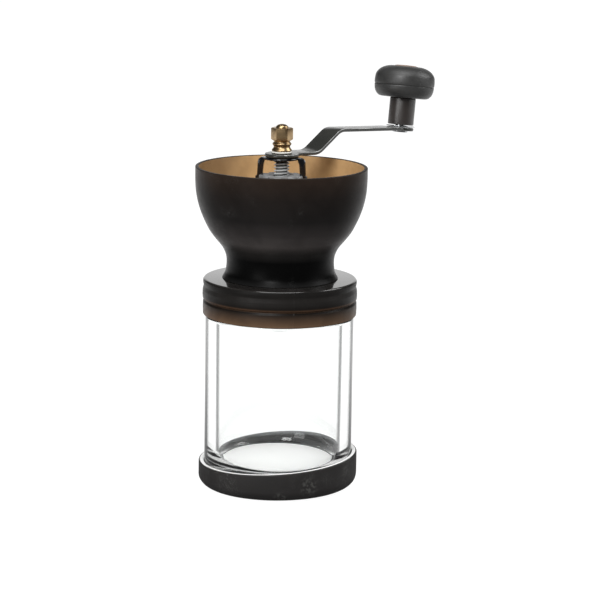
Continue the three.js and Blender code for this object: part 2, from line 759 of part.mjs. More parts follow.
function makeSpring() {
  const shape = coil({
    radius: (SHAFT_RADIUS + sleeveBore) / 2,
    wire: SPRING_WIRE,
    low: springSeatZ + WASHER + SEAT_GAP,
    high: lowerBushZ - SEAT_GAP,
    turns: SPRING_TURNS,
    steps: 8,
    sides: 5,
  });
  return named("return_spring", LOOKS.steel, shape);
}

// Shaft with its threads and drives
function makeShaft() {
  const threadZ = nutZ;
  const driveTop = crankTopZ - 0.3;
  const hexTop = springSeatZ - 0.1;
  const core = turned(
    [
      [0, tailZ],
      [tailRadius, tailZ, 0.5],
      [tailRadius, hexTop],
      [SHAFT_RADIUS, hexTop],
      [SHAFT_RADIUS, threadZ - 0.4, 0.3],
      [threadRoot, threadZ],
      [threadRoot, stopperZ],
      [STUD_RADIUS, driveTop],
      [STUD_RADIUS, driveTop + STUD_LENGTH, 0.6],
      [0, driveTop + STUD_LENGTH],
    ],
    ROUND,
  );
  const turns = Math.floor((stopperZ - threadZ) / SHAFT_THREAD_PITCH) - 0.5;
  const ridge = helicalRidge({
    root: threadRoot - 0.3,
    crest: threadCrest,
    base: SHAFT_THREAD_PITCH * 0.86,
    top: SHAFT_THREAD_PITCH * 0.12,
    pitch: SHAFT_THREAD_PITCH,
    turns,
    low: threadZ + 0.4,
    steps: 8,
  });
  const drive = hexagon(driveFlats, stopperZ - 0.4, driveTop);
  const burrDrive = hexagon(burrFlats, carrierZ + 0.3, hexTop);
  return named("main_shaft", LOOKS.steel, core.add(ridge).add(drive).add(burrDrive));
}

function makeAdjustingNut() {
  const discZ = nutZ + NUT_HUB;
  const bore = threadCrest + LOOSE_GAP;
  const body = turned(
    [
      [bore, nutZ],
      [sleeveRadius - 0.2, nutZ, 0.4],
      [sleeveRadius - 0.2, discZ],
      [NUT_RADIUS, discZ, 0.6],
      [NUT_RADIUS, nutTopZ, 0.6],
      [bore, nutTopZ],
    ],
    WIDE,
  );
  const floor = legFootRadius - LEG_WIDTH / 2 - SEAT_GAP;
  const depth = NUT_RADIUS + 1 - floor;
  const width = LEG_WIDTH + NOTCH_PLAY;
  const notch = () => block(depth, width, discZ - 1, nutTopZ + 1, floor + depth / 2);
  return named("adjusting_nut", LOOKS.grey, body.subtract(aroundAxis(NUT_NOTCHES, notch, STOPPER_TURN)));
}

function makeStopper() {
  const plateMid = stopperZ + STOPPER_PLATE / 2;
  const bendZ = stopperZ - 2.6;
  const soleZ = nutTopZ - NUT_DISC / 2;
  const disc = rod(STOPPER_DISC_RADIUS, stopperZ, stopperZ + STOPPER_PLATE, SMALL, 0.3);
  const leg = () => {
    // Side outline of a leg, from the disc over the shoulder and down into its notch.
    const half = LEG_WIDTH / 2;
    const outline = filletedOutline(
      [
        [STOPPER_DISC_RADIUS - 2, stopperZ + STOPPER_PLATE],
        [legTopRadius + half, stopperZ + STOPPER_PLATE, 2.4],
        [legFootRadius + half, soleZ + 2.4, 0.6],
        [legFootRadius + FOOT_REACH, soleZ + 1.6, 0.5],
        [legFootRadius + FOOT_REACH, soleZ, 0.4],
        [legFootRadius - half, soleZ, 0.4],
        [legFootRadius - half, nutTopZ + 1.5, 0.6],
        [legTopRadius - half, bendZ, 1],
        [legTopRadius - half - 1, stopperZ],
        [STOPPER_DISC_RADIUS - 2, stopperZ],
      ],
    );
    const side = prism(new THREE.Shape(outline), -half, half);
    return side.rotate([90, 0, 0]);
  };
  const bore = hexagon(driveFlats + 2 * LOOSE_GAP, plateMid - 2, plateMid + 2);
  const whole = disc.add(aroundAxis(2, leg, STOPPER_TURN)).subtract(bore);
  return named("nut_stopper", LOOKS.gloss, whole);
}

// Crank: a bent strip seen from the side, trimmed to its outline seen from above
const armRad = THREE.MathUtils.degToRad(ARM_DROOP);
const leanRad = THREE.MathUtils.degToRad(KNOB_LEAN);
const rampTop = point(RAMP_START + RAMP_LENGTH, crankTopZ + RAMP_RISE);
const endStart = CRANK_REACH - END_LENGTH;
const endStartZ = rampTop.y - (endStart - rampTop.x) * Math.tan(armRad);
const knobSeat = point(CRANK_REACH, endStartZ - END_LENGTH * Math.tan(leanRad));

function makeCrank() {
  const tip = point(knobSeat.x + 12, knobSeat.y - 12 * Math.tan(leanRad));
  const upper = [
    [-CRANK_HUB_RADIUS - 2, crankTopZ],
    [RAMP_START, crankTopZ, BEND_RADIUS],
    [rampTop.x, rampTop.y, BEND_RADIUS],
    [endStart, endStartZ, BEND_RADIUS],
    [tip.x, tip.y],
  ];
  const line = filletedOutline(upper, false);
  const lower = line.map((p, i) => {
    // The lower face lies one thickness below the upper one, square to it.
    const before = line[Math.max(0, i - 1)];
    const after = line[Math.min(line.length - 1, i + 1)];
    const along = after.clone().sub(before).normalize();
    return point(p.x + along.y * CRANK_THICKNESS, p.y - along.x * CRANK_THICKNESS);
  });
  const side = new THREE.Shape([...line, ...lower.reverse()]);
  const strip = prism(side, -20, 20).rotate([90, 0, 0]);
  const low = crankZ - 5;
  const high = rampTop.y + 5;
  const hub = rod(CRANK_HUB_RADIUS, low, high, 32);
  const end = rod(CRANK_END_RADIUS, low, high, 32).translate([CRANK_REACH, 0, 0]);
  const web = block(CRANK_REACH, CRANK_WIDTH, low, high, CRANK_REACH / 2);
  const outline = hub.add(end).add(web);
  const drive = hexagon(driveFlats + 2 * LOOSE_GAP, low, high);
  const rivetHole = rod(SPINDLE_RADIUS + LOOSE_GAP, -10, 10)
    .rotate([0, KNOB_LEAN, 0])
    .translate([knobSeat.x, 0, knobSeat.y]);
  const arm = strip.intersect(outline).subtract(drive).subtract(rivetHole);
  return named("crank_arm", LOOKS.armPaint, arm);
}

function makeHubWasher() {
  const inner = STUD_RADIUS + LOOSE_GAP;
  return named("hub_washer", LOOKS.nylon, tube(inner, 5.7, hubWasherZ, hubWasherZ + WASHER));
}

function makeCapNut() {
  const hexZ = capZ + CAP_NECK_HEIGHT;
  const topZ = hexZ + CAP_HEX_HEIGHT;
  const bead = CAP_NECK_HEIGHT / 4;
  const corner = CAP_FLATS / 2 / Math.cos(Math.PI / 6);
  const neck = turned([
    [0, capZ],
    [CAP_BEAD_RADIUS, capZ, 0.3],
    [CAP_GROOVE_RADIUS, capZ + bead, 0.5],
    [CAP_BEAD_RADIUS, capZ + 2 * bead, 0.5],
    [CAP_GROOVE_RADIUS, capZ + 3 * bead, 0.5],
    [CAP_GROOVE_RADIUS + 0.3, hexZ + 0.5],
    [0, hexZ + 0.5],
  ]);
  const chamfer = turned([
    [0, hexZ],
    [CAP_GROOVE_RADIUS + 0.3, hexZ],
    [corner, hexZ + 1],
    [corner, topZ - 0.2],
    [corner - 0.3, topZ],
    [0, topZ],
  ]);
  const head = hexagon(CAP_FLATS, hexZ, topZ, CAP_TURN).intersect(chamfer);
  const domeBase = topZ - 0.4;
  const dome = revolve([
    point(0, domeBase),
    ...Array.from({ length: 6 }, (_, k) => {
      const angle = (Math.PI / 2) * (k / 5);
      const rise = (CAP_DOME_HEIGHT + 0.4) * Math.sin(angle);
      return point(k === 5 ? 0 : CAP_DOME_RADIUS * Math.cos(angle), domeBase + rise);
    }),
  ]);
  const bore = rod(STUD_RADIUS + LOOSE_GAP, capZ - 1, crankTopZ + STUD_LENGTH + 0.4);
  return named("cap_nut", LOOKS.brass, neck.add(head).add(dome).subtract(bore));
}

// Knob, in its own frame: z along the leaning axis, zero on the arm's upper face
const stemZ = SEAT_GAP + WASHER + SEAT_GAP; // lower end of the stem
const knobZ = stemZ + STEM_LENGTH + SEAT_GAP; // underside of the knob
const seamZ = knobZ + KNOB_SEAM;
const knobTopZ = knobZ + KNOB_HEIGHT;
const headZ = seamZ + 5.2; // underside of the spindle's head
const knobBore = SPINDLE_RADIUS + LOOSE_GAP;

function makeSpindle() {
  const riveted = -CRANK_THICKNESS - SEAT_GAP;
  const spindle = turned([
    [0, riveted - 0.7],
    [4.4, riveted - 0.7, 0.4],
    [4.4, riveted],
    [SPINDLE_RADIUS, riveted],
    [SPINDLE_RADIUS, headZ],
    [4.8, headZ],
    [4.8, headZ + 1.4, 0.4],
    [0, headZ + 1.4],
  ]);
  return named("knob_spindle", LOOKS.steel, spindle);
}

function makeSpindleWasher() {
  return named("spindle_washer", LOOKS.steel, tube(knobBore, 8.1, SEAT_GAP, SEAT_GAP + WASHER));
}

function makeStem() {
  const stem = tube(knobBore, STEM_RADIUS, stemZ, stemZ + STEM_LENGTH, ROUND, 0.4);
  return named("knob_stem", LOOKS.black, stem);
}

function makeKnobBase() {
  const bossTop = headZ - SEAT_GAP;
  const inner = KNOB_BASE_RADIUS - KNOB_WALL;
  const base = turned(
    [
      [knobBore, knobZ],
      [KNOB_BASE_RADIUS - 2.5, knobZ, 1.2],
      [KNOB_BASE_RADIUS - 0.6, knobZ + 0.4 * KNOB_SEAM, 3],
      [KNOB_BASE_RADIUS, seamZ],
      [inner, seamZ],
      [inner - 1, knobZ + KNOB_WALL + 1, 1],
      [STEM_RADIUS, knobZ + KNOB_WALL, 1],
      [STEM_RADIUS - 1.2, bossTop],
      [knobBore, bossTop],
    ],
    ROUND,
  );
  return named("knob_base", LOOKS.softTouch, base);
}

function makeKnobCap() {
  const bottom = seamZ + SEAT_GAP;
  const recess = knobTopZ - PLUG_THICKNESS - 0.5;
  const half = KNOB_HEIGHT - KNOB_SEAM;
  const cap = turned(
    [
      [PLUG_RADIUS - 1.4, recess],
      [PLUG_RADIUS + SEAT_GAP, recess],
      [PLUG_RADIUS + SEAT_GAP, knobTopZ, 0.5],
      [KNOB_RADIUS - 6, knobTopZ, 3],
      [KNOB_RADIUS - 0.8, knobTopZ - 0.35 * half, 5],
      [KNOB_RADIUS, bottom + 0.8, 0.6],
      [KNOB_RADIUS - 0.3, bottom],
      [KNOB_RADIUS - KNOB_WALL, bottom],
      [KNOB_RADIUS - KNOB_WALL - 0.8, knobTopZ - 0.35 * half - 2, 3],
      [PLUG_RADIUS + 1.5, recess - KNOB_WALL, 1],
      [PLUG_RADIUS - 1.4, recess - KNOB_WALL],
    ],
    ROUND,
  );
  return named("knob_cap", LOOKS.softTouch, cap);
}

function makePlug() {
  const low = knobTopZ - PLUG_THICKNESS - 0.5 + SEAT_GAP;
  return named("knob_plug", LOOKS.plug, rod(PLUG_RADIUS, low, low + PLUG_THICKNESS, SMALL, 0.3));
}

// The whole mill
const grinder = new THREE.Group();
grinder.add(makeBoot(), makeJar(), makeSeal(), makeCollar(), makeHopper());
grinder.add(makeTower(), makeUpperBush(), makeLowerBush(), makeThrustWasher());
grinder.add(makeHousing(), makeOuterBurr(), makeInnerBurr(), makeCarrier());
grinder.add(makeBurrWasher(), makeBurrNut(), makeSpringSeat(), makeSpring());
for (let k = 0; k < SCREWS; k++) grinder.add(makeScrew(k));
grinder.add(makeShaft(), makeAdjustingNut(), makeStopper());
grinder.add(makeCrank(), makeHubWasher(), makeCapNut());

const knob = new THREE.Group();
knob.position.set(knobSeat.x, 0, knobSeat.y);
knob.rotation.y = leanRad;
knob.add(makeSpindle(), makeSpindleWasher(), makeStem());
knob.add(makeKnobBase(), makeKnobCap(), makePlug());
grinder.add(knob);

export default grinder;
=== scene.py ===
"""Looks of the hand-cranked coffee mill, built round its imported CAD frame.

Sizes are in millimetres, and every mesh is made in metres in the CAD's own frame: +Z up along the mill's
axis, crank along +X at rest, zero at the table.
"""

import logging
import math
from collections.abc import Callable, Sequence
from dataclasses import dataclass
from enum import Enum

import bpy
from mathutils import Matrix, Vector


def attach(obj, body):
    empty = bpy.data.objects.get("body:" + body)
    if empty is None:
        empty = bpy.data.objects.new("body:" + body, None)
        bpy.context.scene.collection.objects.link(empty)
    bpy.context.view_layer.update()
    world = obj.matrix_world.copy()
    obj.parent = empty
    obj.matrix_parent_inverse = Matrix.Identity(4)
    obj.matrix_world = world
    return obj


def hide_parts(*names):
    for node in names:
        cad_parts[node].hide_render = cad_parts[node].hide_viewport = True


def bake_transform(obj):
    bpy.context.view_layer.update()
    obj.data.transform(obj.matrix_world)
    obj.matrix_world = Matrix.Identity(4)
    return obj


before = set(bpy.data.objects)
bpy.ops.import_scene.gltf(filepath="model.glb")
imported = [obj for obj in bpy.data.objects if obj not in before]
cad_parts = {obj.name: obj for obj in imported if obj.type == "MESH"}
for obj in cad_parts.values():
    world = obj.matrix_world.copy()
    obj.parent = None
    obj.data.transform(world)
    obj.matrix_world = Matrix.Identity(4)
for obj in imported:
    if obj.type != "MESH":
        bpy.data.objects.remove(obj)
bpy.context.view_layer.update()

# A millimetre and the reach of a weld, both in metres, and a whole turn in radians
MM = 0.001
WELD = 2e-6
FULL_TURN = 2 * math.pi
# The most of a free edge that a fillet takes, and how far a cutting tool passes a piece
FILLET_SHARE = 0.98
PAST = 1.0
log = logging.getLogger("coffee_mill")

Piece = bpy.types.Object
Socket = bpy.types.NodeSocket
Triple = tuple[float, float, float]
Colour = Triple
Corner = tuple[float, ...]
Outline = list[tuple[float, float]]


class Facets(Enum):
    """Steps round a turned piece."""

    WIDE = 160
    MIDDLE = 96
    SMALL = 48


class Join(Enum):
    """Ways to combine two solids."""

    ADD = "UNION"
    CUT = "DIFFERENCE"
    KEEP_COMMON = "INTERSECT"


class Blend(Enum):
    """Ways to mix two colours."""

    OVER = "MIX"
    MULTIPLY = "MULTIPLY"


# Outlines


def rounded(corners: Sequence[Corner], closed: bool = True, degrees: float = 12.0) -> Outline:
    """Turns the fillets of an outline into arcs.

    Args:
        corners: Points of the outline as (x, y) or (x, y, fillet radius).
        closed: Whether the last point joins the first.
        degrees: Angle that one step of an arc covers.

    Returns:
        The points of the outline, fillets included.
    """
    count = len(corners)
    spots = [Vector(c[:2]) for c in corners]
    fillets = [c[2] if len(c) > 2 else 0.0 for c in corners]
    line: Outline = []
    for i, here in enumerate(spots):
        at_end = not closed and i in (0, count - 1)
        if not fillets[i] or at_end:
            line.append((here.x, here.y))
            continue
        before, after = spots[i - 1] - here, spots[(i + 1) % count] - here
        room = min(
            FILLET_SHARE * before.length / (2 if fillets[i - 1] else 1),
            FILLET_SHARE * after.length / (2 if fillets[(i + 1) % count] else 1),
        )
        before.normalize()
        after.normalize()
        half = before.angle(after) / 2
        reach = min(fillets[i] / math.tan(half), room)
        centre = here + (before + after).normalized() * (reach / math.cos(half))
        start, end = here + before * reach - centre, here + after * reach - centre
        first = math.atan2(start.y, start.x)
        sweep = math.remainder(math.atan2(end.y, end.x) - first, FULL_TURN)
        steps = max(2, math.ceil(math.degrees(abs(sweep)) / degrees))
        for k in range(steps + 1):
            angle = first + sweep * k / steps
            x, y = start.length * math.cos(angle), start.length * math.sin(angle)
            line.append((centre.x + x, centre.y + y))
    return line


def smooth_line(points: Outline, steps: int = 5) -> Outline:
    """Runs a Catmull-Rom curve through points.

    Args:
        points: The points in order.
        steps: Pieces that each span is divided into.

    Returns:
        The points of the curve, the given ones included.
    """
    spots = [Vector(p) for p in points]
    spots = [2 * spots[0] - spots[1], *spots, 2 * spots[-1] - spots[-2]]
    line: Outline = []
    for a, b, c, d in zip(spots, spots[1:], spots[2:], spots[3:]):
        for k in range(steps):
            t = k / steps
            square, cube = 2 * a - 5 * b + 4 * c - d, 3 * b - a - 3 * c + d
            p = 0.5 * (2 * b + (c - a) * t + square * t**2 + cube * t**3)
            line.append((p.x, p.y))
    line.append(points[-1])
    return line


def inset_line(points: Outline, distance: float) -> Outline:
    """Moves an open line sideways, to its left for a positive distance.

    Args:
        points: The line.
        distance: How far each point moves square to the line.

    Returns:
        The moved points.
    """
    line: Outline = []
    for i, p in enumerate(points):
        along = Vector(points[min(i + 1, len(points) - 1)]) - Vector(points[max(i - 1, 0)])
        along.normalize()
        line.append((p[0] - along.y * distance, p[1] + along.x * distance))
    return line


# Modelling


def deselect() -> None:
    """Leaves edit mode and deselects everything."""
    if bpy.context.object and bpy.context.object.mode != "OBJECT":
        bpy.ops.object.mode_set(mode="OBJECT")
    bpy.ops.object.select_all(action="DESELECT")


def take(piece: Piece) -> None:
    """Makes a piece the only selected one.

    Args:
        piece: The piece.
    """
    deselect()
    piece.select_set(True)
    bpy.context.view_layer.objects.active = piece


def edit(piece: Piece) -> None:
    """Opens a piece in edit mode with all of it selected.

    Args:
        piece: The piece.
    """
    take(piece)
    bpy.ops.object.mode_set(mode="EDIT")
    bpy.ops.mesh.select_all(action="SELECT")


def close_up(piece: Piece) -> Piece:
    """Welds what meets, turns the faces outwards and leaves edit mode.

    Args:
        piece: A mesh object.

    Returns:
        The same object.
    """
    if piece.mode != "EDIT":
        edit(piece)
    bpy.ops.mesh.select_all(action="SELECT")
    bpy.ops.mesh.remove_doubles(threshold=WELD)
    bpy.ops.mesh.normals_make_consistent(inside=False)
    bpy.ops.object.mode_set(mode="OBJECT")
    return piece


def draw(name: str, points: Sequence[Triple]) -> Piece:
    """Draws a line of edges by extruding one vertex, and stays in edit mode.

    Args:
        name: Name of the new object.
        points: The line's points in millimetres.

    Returns:
        The new object.
    """
    deselect()
    bpy.ops.mesh.primitive_plane_add(size=MM)
    piece = bpy.context.object
    piece.name = piece.data.name = name
    bpy.ops.object.mode_set(mode="EDIT")
    bpy.ops.mesh.select_all(action="SELECT")
    bpy.ops.mesh.merge(type="CENTER")
    spots = [Vector(p) * MM for p in points]
    bpy.ops.transform.translate(value=spots[0])
    for before, after in zip(spots, spots[1:]):
        bpy.ops.mesh.extrude_region_move(TRANSFORM_OT_translate={"value": after - before})
    return piece


def turned(name: str, corners: Sequence[Corner], facets: Facets = Facets.MIDDLE) -> Piece:
    """Spins a filleted half section round the Z axis.

    Args:
        name: Name of the new object.
        corners: Section as (radius, height) or (radius, height, fillet). One that starts on the axis ends
            there.
        facets: Steps round the piece.

    Returns:
        The new closed piece.
    """
    closed = corners[0][0] > 0
    section = rounded(corners, closed)
    if closed:
        section.append(section[0])
    piece = draw(name, [(r, 0.0, z) for r, z in section])
    bpy.ops.mesh.select_all(action="SELECT")
    bpy.ops.mesh.spin(steps=facets.value, angle=FULL_TURN, center=(0, 0, 0), axis=(0, 0, 1))
    return close_up(piece)


def tube(name: str, bore: float, radius: float, low: float, high: float, edge: float = 0.2) -> Piece:
    """Makes a ring or a sleeve with eased edges.

    Args:
        name: Name of the new object.
        bore: Inner radius.
        radius: Outer radius.
        low: Height of its lower end.
        high: Height of its upper end.
        edge: Rounding of its edges.

    Returns:
        The new piece.
    """
    return turned(name, [(bore, low, edge), (radius, low, edge), (radius, high, edge), (bore, high, edge)])


def drill(radius: float, low: float, high: float, facets: Facets = Facets.SMALL) -> Piece:
    """Makes a drill on the Z axis that reaches past both faces of what it drills.

    Args:
        radius: Its radius.
        low: Height of the lower face.
        high: Height of the upper face.
        facets: Steps round the drill.

    Returns:
        The new piece.
    """
    low, high = low - PAST, high + PAST
    return turned("drill", [(0.0, low), (radius, low), (radius, high), (0.0, high)], facets)


def slab(name: str, outline: Outline, low: float, high: float) -> Piece:
    """Extrudes a flat outline upwards.

    Args:
        name: Name of the new object.
        outline: Points seen from above.
        low: Height of the lower face.
        high: Height of the upper face.

    Returns:
        The new closed piece.
    """
    piece = draw(name, [(x, y, low) for x, y in [*outline, outline[0]]])
    bpy.ops.mesh.select_all(action="SELECT")
    bpy.ops.mesh.remove_doubles(threshold=WELD)
    bpy.ops.mesh.edge_face_add()
    bpy.ops.mesh.extrude_region_move(TRANSFORM_OT_translate={"value": (0, 0, (high - low) * MM)})
    return close_up(piece)


def wrapped(name: str, along: int, around: int, place: Callable[[int, int], Vector]) -> Piece:
    """Rolls a flat grid into a tube, moves each of its rings into place and fills the two end rings.

    Args:
        name: Name of the new object.
        along: Spans from the first ring to the last.
        around: Spans round a ring.
        place: Gives the point, in millimetres, of a ring's number and a step round it.

    Returns:
        The new closed piece.
    """
    deselect()
    bpy.ops.mesh.primitive_grid_add(x_subdivisions=along, y_subdivisions=around, size=1)
    piece = bpy.context.object
    piece.name = piece.data.name = name
    rings: tuple[list[int], list[int]] = ([], [])
    for vertex in piece.data.vertices:
        i, j = round((vertex.co.x + 0.5) * along), round((vertex.co.y + 0.5) * around)
        vertex.co = place(i, j % around) * MM
        if i in (0, along):
            rings[i > 0].append(vertex.index)
    edit(piece)
    for ring in rings:
        bpy.ops.mesh.select_all(action="DESELECT")
        bpy.ops.object.mode_set(mode="OBJECT")
        for index in ring:
            piece.data.vertices[index].select = True
        bpy.ops.object.mode_set(mode="EDIT")
        bpy.ops.mesh.edge_face_add()
    return close_up(piece)


def on_circle(radius: float, angle: float, z: float) -> Vector:
    """Gives the point at a radius, an angle in radians and a height."""
    return Vector((radius * math.cos(angle), radius * math.sin(angle), z))


def prism(name: str, flats: float, low: float, high: float, turn: float = 0.0) -> Piece:
    """Makes a hexagonal bar along Z.

    Args:
        name: Name of the new object.
        flats: Distance across its flats.
        low: Height of the lower face.
        high: Height of the upper face.
        turn: Degrees from +X to the way that one flat faces.

    Returns:
        The new piece.
    """
    corner = flats / 2 / math.cos(math.pi / 6)
    angles = [math.radians(turn + 30 + 60 * k) for k in range(6)]
    return slab(name, [(corner * math.cos(a), corner * math.sin(a)) for a in angles], low, high)


def bar(name: str, length: float, width: float, low: float, high: float, x: float = 0.0) -> Piece:
    """Makes a box whose middle lies on the X axis.

    Args:
        name: Name of the new object.
        length: Size along X.
        width: Size along Y.
        low: Height of the lower face.
        high: Height of the upper face.
        x: Place of its middle.

    Returns:
        The new piece.
    """
    deselect()
    bpy.ops.mesh.primitive_cube_add(size=1)
    piece = bpy.context.object
    piece.name = piece.data.name = name
    shape = Matrix.Diagonal((length * MM, width * MM, (high - low) * MM, 1))
    piece.data.transform(Matrix.Translation((x * MM, 0, (low + high) / 2 * MM)) @ shape)
    return piece


def moved(piece: Piece, turn: float = 0.0, by: Triple = (0.0, 0.0, 0.0)) -> Piece:
    """Shifts a mesh and then turns it round Z, inside its object.

    Args:
        piece: The piece.
        turn: Degrees round Z.
        by: Shift in millimetres, made before the turn.

    Returns:
        The same piece.
    """
    piece.data.transform(Matrix.Rotation(math.radians(turn), 4, "Z") @ Matrix.Translation(Vector(by) * MM))
    return piece


def copy_of(piece: Piece, name: str) -> Piece:
    """Copies a piece with a mesh of its own.

    Args:
        piece: The piece.
        name: Name of the copy.

    Returns:
        The copy.
    """
    double = piece.copy()
    double.data = piece.data.copy()
    double.name = double.data.name = name
    bpy.context.collection.objects.link(double)
    return double


def discard(piece: Piece) -> None:
    """Deletes a piece that was only a tool."""
    bpy.data.meshes.remove(piece.data)


def combine(piece: Piece, tool: Piece, how: Join) -> Piece:
    """Combines two solids and deletes the second.

    Args:
        piece: The solid that is kept.
        tool: The solid that is added, cut away or intersected.
        how: What is done.

    Returns:
        The first piece.
    """
    step = piece.modifiers.new("join", "BOOLEAN")
    step.operation = how.value
    step.object = tool
    step.solver = "EXACT"
    take(piece)
    bpy.ops.object.modifier_apply(modifier=step.name)
    discard(tool)
    return piece


def spread(piece: Piece, tool: Piece, count: int, how: Join, first: float = 0.0) -> Piece:
    """Combines a solid with copies of a tool, evenly round Z.

    Args:
        piece: The solid that is kept.
        tool: The tool at angle zero. It is deleted.
        count: Number of copies.
        how: What is done with each.
        first: Degrees of the first copy.

    Returns:
        The first piece.
    """
    for k in range(count):
        combine(piece, moved(copy_of(tool, "tool"), first + 360 * k / count), how)
    discard(tool)
    return piece


def soften(piece: Piece, width: float, segments: int = 2, angle: float = 40.0) -> Piece:
    """Rounds the sharp edges of a piece.

    Args:
        piece: The piece.
        width: Width of the rounding in millimetres.
        segments: Steps of the rounding.
        angle: Degrees past which an edge is sharp.

    Returns:
        The same piece.
    """
    step = piece.modifiers.new("edges", "BEVEL")
    step.width = width * MM
    step.segments = segments
    step.limit_method = "ANGLE"
    step.angle_limit = math.radians(angle)
    step.use_clamp_overlap = True
    take(piece)
    bpy.ops.object.modifier_apply(modifier=step.name)
    return piece


@dataclass(frozen=True)
class ScrewCircle:
    """The housing screws' places round the axis."""

    count: int = 3
    radius: float = 23.8
    hole: float = 1.55
    first_degrees: float = 60.0

    def repeat(self, piece: Piece, tool: Piece, how: Join) -> Piece:
        """Combines a piece with a tool at every screw.

        Args:
            piece: The piece.
            tool: The tool on the Z axis. It is deleted.
            how: What is done with each.

        Returns:
            The same piece.
        """
        return spread(piece, moved(tool, by=(self.radius, 0.0, 0.0)), self.count, how, self.first_degrees)

    def drill(self, piece: Piece, low: float, high: float) -> Piece:
        """Drills the screws' clearance holes.

        Args:
            piece: The piece.
            low: Height of its lower face there.
            high: Height of its upper face there.

        Returns:
            The same piece.
        """
        return self.repeat(piece, drill(self.hole, low, high), Join.CUT)


SCREWS = ScrewCircle()


def shape_each(piece: Piece, change: Callable[[Vector], Vector]) -> Piece:
    """Moves every vertex of a piece.

    Args:
        piece: The piece.
        change: Gives the new place of a point, both in millimetres.

    Returns:
        The same piece.
    """
    for vertex in piece.data.vertices:
        vertex.co = change(vertex.co / MM) * MM
    return piece


def dress(piece: Piece, *finishes: "Finish", smooth: float = 32.0) -> Piece:
    """Shades a piece and gives it its materials.

    Args:
        piece: The piece.
        finishes: Its finishes in the order of its material slots.
        smooth: Degrees past which an edge stays sharp in shading.

    Returns:
        The same piece.
    """
    take(piece)
    bpy.ops.object.shade_smooth_by_angle(angle=math.radians(smooth))
    piece.data.materials.clear()
    for finish in finishes:
        piece.data.materials.append(finish.material())
    return piece


def paint(piece: Piece, slot: int, chosen: Callable[[Vector, Vector], bool]) -> None:
    """Gives some faces another of the piece's materials.

    Args:
        piece: The piece.
        slot: Number of the material.
        chosen: Tells from a face's middle, in millimetres, and its normal whether it is one of them.
    """
    for face in piece.data.polygons:
        if chosen(face.center / MM, face.normal):
            face.material_index = slot


def faces_in(at: Vector, normal: Vector) -> bool:
    """Tells whether a face at a place looks towards the Z axis."""
    return at.xy.dot(normal.xy) < 0


def hand_over(piece: Piece, node: str, body: str) -> None:
    """Puts a finished piece in the place of its CAD node.

    Args:
        piece: The piece.
        node: The CAD node that it stands for.
        body: The body that it moves with.
    """
    piece.name = piece.data.name = f"{node}_shown"
    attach(piece, body)
    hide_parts(node)
    log.info("%s: %d faces on body %s", piece.name, len(piece.data.polygons), body)


# Finishes


@dataclass(frozen=True)
class Mark:
    """A round rubbed spot, or a round patch of painted shade, in millimetres."""

    centre: Triple
    radius: float
    depth: float = 0.7


